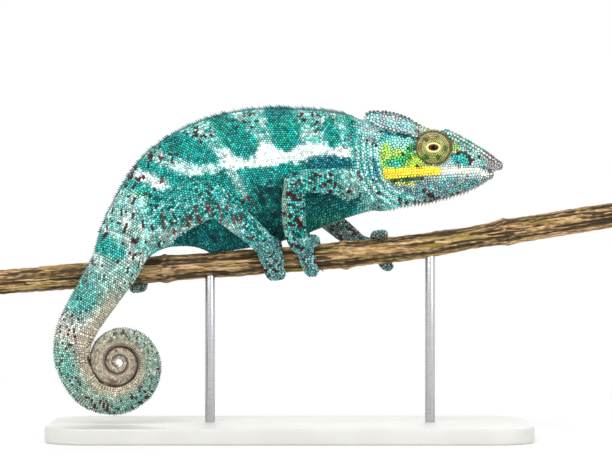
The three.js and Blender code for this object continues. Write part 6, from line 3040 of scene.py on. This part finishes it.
@dataclass(frozen=True)
class BarkFinish:
    """Weathered bark with dark grooves, threads of algae, rubbed ridges and sawn ends."""

    name: str = "bark"
    lean: float = 0.13

    def build(self) -> bpy.types.Material:
        """Mixes the finish.

        Returns:
            The material.
        """
        n = Surface(self.name)
        streak, fine, blotch, thread = (
            n.noise(n.stretched((along, across, across), self.lean), 1.0, detail)
            for along, across, detail in ((45, 560, 5.0), (190, 2400, 3.0), (30, 90, 3.0), (20, 430, 4.0))
        )
        wood = n.mix(n.spread(streak, 0.42, 0.58), rgba(136, 102, 54), rgba(206, 168, 112))
        wood = n.mix(n.spread(blotch, 0.52, 0.7, 0, 0.45), wood, rgba(198, 150, 122))
        wood = n.mix(n.spread(fine, 0.5, 0.6, 0, 0.65), wood, rgba(92, 62, 28))
        wood = n.mix(n.spread(fine, 0.45, 0.37, 0, 0.6), wood, rgba(226, 200, 160))
        algae = n.times(n.spread(thread, 0.52, 0.6), n.spread(blotch, 0.36, 0.52, 1.0, 0.3))
        green = n.mix(n.spread(fine, 0.4, 0.6), rgba(92, 86, 16), rgba(168, 156, 40))
        wood = n.mix(n.times(algae, 0.85), wood, green)
        hollow = n.spread(n.stored("depth"), 0.26, 0.58, 1.0, 0.0)
        wood = n.mix(n.times(hollow, 0.92), wood, rgba(40, 26, 8))
        place = n.stretched((1, 1, 1))
        across = {"wave_type": "RINGS", "rings_direction": "X"}
        rings = n.add("NodeTexWave", across, Vector=place, Scale=420.0, Distortion=1.2).outputs["Fac"]
        cut = n.mix(n.spread(rings, 0.2, 0.8, 0, 0.5), rgba(214, 184, 142), rgba(168, 128, 88))
        cut = n.mix(n.spread(n.noise(place, 900.0), 0.4, 0.7, 0, 0.3), cut, rgba(134, 100, 70))
        height = n.maths("ADD", n.times(streak, 0.6), n.times(fine, 0.5))
        colour = n.mix(n.stored("sawn"), wood, cut)
        return n.finished(colour, n.spread(streak, 0.3, 0.7, 0.92, 0.68), Normal=n.relief(0.6, 0.0009, height))


@dataclass(frozen=True)
class LacquerFinish:
    """Off-white satin lacquer with a faint orange peel."""

    name: str = "satin_lacquer"

    def build(self) -> bpy.types.Material:
        """Mixes the finish.

        Returns:
            The material.
        """
        n = Surface(self.name)
        place = n.stretched((1, 1, 1))
        colour = n.mix(n.spread(n.noise(place, 26.0), 0.3, 0.7), rgba(206, 205, 200), rgba(214, 213, 209))
        rough = n.spread(n.noise(place, 90.0), 0.3, 0.7, 0.38, 0.48)
        return n.finished(colour, rough, Normal=n.relief(0.12, 0.0003, n.noise(place, 1100.0)))


@dataclass(frozen=True)
class SteelFinish:
    """Steel brushed round the rod."""

    name: str = "brushed_steel"

    def build(self) -> bpy.types.Material:
        """Mixes the finish.

        Returns:
            The material.
        """
        n = Surface(self.name)
        brushed = n.noise(n.stretched((300, 300, 9000)), 1.0, 2.0)
        colour = n.mix(n.spread(brushed, 0.3, 0.7), rgba(182, 184, 187), rgba(198, 200, 202))
        rough = n.spread(brushed, 0.3, 0.7, 0.26, 0.36)
        return n.finished(colour, rough, Normal=n.relief(0.02, 0.0001, brushed), Metallic=1.0)


# ---------------------------------------------------------------- the studio


@dataclass
class Studio:
    """The camera, the soft lamps and the plain white floor and backdrop, in metres.

    Each lamp is its place, size and power.
    """

    distance: float = 1.5
    eye_height: float = 0.10525
    sensor: float = 36.0
    view_width: float = 0.306
    far_end: float = 50.0
    floor_half: float = 4.0
    floor_drop: float = 0.05
    ambient: float = 0.62
    middle: Triple = (0, 0, 0.1)
    lamps: tuple[tuple[Triple, float, float], ...] = (
        ((-0.55, -1.0, 1.05), 0.9, 13.0), ((0.95, -0.75, 0.6), 0.8, 5.5), ((0.1, 0.9, 0.9), 0.9, 5.0),
    )

    def hang(self, data: bpy.types.ID, place: Triple, turn: object) -> bpy.types.Object:
        """Puts a camera or a lamp in the scene.

        Args:
            data: the camera or lamp.
            place: where it stands.
            turn: how it is turned.

        Returns:
            Its object.
        """
        holder = bpy.data.objects.new(data.name, data)
        holder.location, holder.rotation_euler = place, turn
        bpy.context.scene.collection.objects.link(holder)
        return holder

    def camera(self) -> None:
        """A level camera that faces the animal's right side."""
        data = bpy.data.cameras.new("camera")
        data.sensor_width = self.sensor
        data.lens = self.sensor * self.distance / self.view_width
        data.clip_end = self.far_end
        place = (0, -self.distance, self.eye_height)
        bpy.context.scene.camera = self.hang(data, place, (math.pi / 2, 0, 0))

    def light(self) -> None:
        """The soft lamps and an even grey light from all round."""
        for number, (place, size, power) in enumerate(self.lamps, 1):
            data = bpy.data.lights.new(f"softbox_{number}", "AREA")
            data.size, data.energy = size, power
            self.hang(data, place, (Vector(self.middle) - Vector(place)).to_track_quat("-Z", "Y").to_euler())
        world = bpy.data.worlds.new("studio")
        world.use_nodes = True
        bpy.context.scene.world = world
        n = Nodes(world.node_tree)
        sky = n.tree.nodes["Background"].inputs
        n.join(sky["Color"], (1, 1, 1, 1))
        n.join(sky["Strength"], n.maths("ADD", self.ambient, n.times(n.seen(), 1 - self.ambient)))

    def floor(self) -> None:
        """A white floor that keeps the stand's shadow and fades into the backdrop."""
        bm = bmesh.new()
        bmesh.ops.create_grid(bm, x_segments=2, y_segments=2, size=self.floor_half / MM)
        bmesh.ops.translate(bm, vec=Vector((0, 0, -self.floor_drop)), verts=bm.verts)
        piece = object_of(joined([bm], "floor"))
        n = Surface("floor_white")
        place = n.stretched((1, 1, 1))
        material = n.finished(n.mix(n.noise(place, 14.0), rgba(238, 238, 238), rgba(242, 242, 242)), 0.9)
        glow = n.add("NodeEmission", Strength=1.0).outputs[0]
        away = n.add("NodeVectorMath", {"operation": "LENGTH"}, Vector=place).outputs["Value"]
        both = n.add("NodeMixShader")
        share = n.times(n.seen(), n.spread(away, 0.12, 0.6, 0.45, 1.0))
        for socket, value in zip(both.inputs, (share, n.shader.outputs[0], glow)):
            n.join(socket, value)
        n.join(n.tree.nodes["Material Output"].inputs["Surface"], both.outputs[0])
        piece.data.materials.append(material)

    def build(self) -> None:
        """Everything round the model."""
        self.camera()
        self.light()
        self.floor()
        bpy.context.scene.view_settings.view_transform = "Standard"


# ---------------------------------------------------------------- the model


def main() -> None:
    """Builds the model piece by piece, noting in the log each piece's faces and how many solids it replaces."""
    logging.basicConfig(level=logging.INFO, format="%(message)s")
    Studio().build()
    perch = Perch()
    perch.build(BarkFinish())
    stand = Stand(perch)
    stand.base(LacquerFinish())
    stand.rods(SteelFinish())

    hide = Hide(Spine(), Head(), legs_on(perch))
    skin = hide.build()
    markings = Markings(hide)
    # The scales have strong painted shade at their foot and a painted glint on top.
    scales = HideFinish("scales", dull=0.42, foot=0.42, mottle=0.3, bump=0.12, glint=0.8)
    Coat(hide, skin).build(markings, scales)
    under = HideFinish("skin_between_scales", dull=0.62, foot=0.8, bump=0.4, grain=1900.0)
    flesh = tuple(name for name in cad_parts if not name.startswith(("eye", "stand", "perch")))
    dressed(object_of(skin), under.build(), flesh)

    Crests(hide).build(markings, HideFinish("thorns", mottle=0.25))
    Claws(hide.legs, perch).build(HideFinish("claw_horn", dull=0.34, foot=1.0, mottle=0.4, bump=0.05))
    Eye().build(HideFinish("turret_skin", foot=0.55, mottle=0.22, bump=0.1), EyeFinish())


if __name__ == "__main__":
    main()
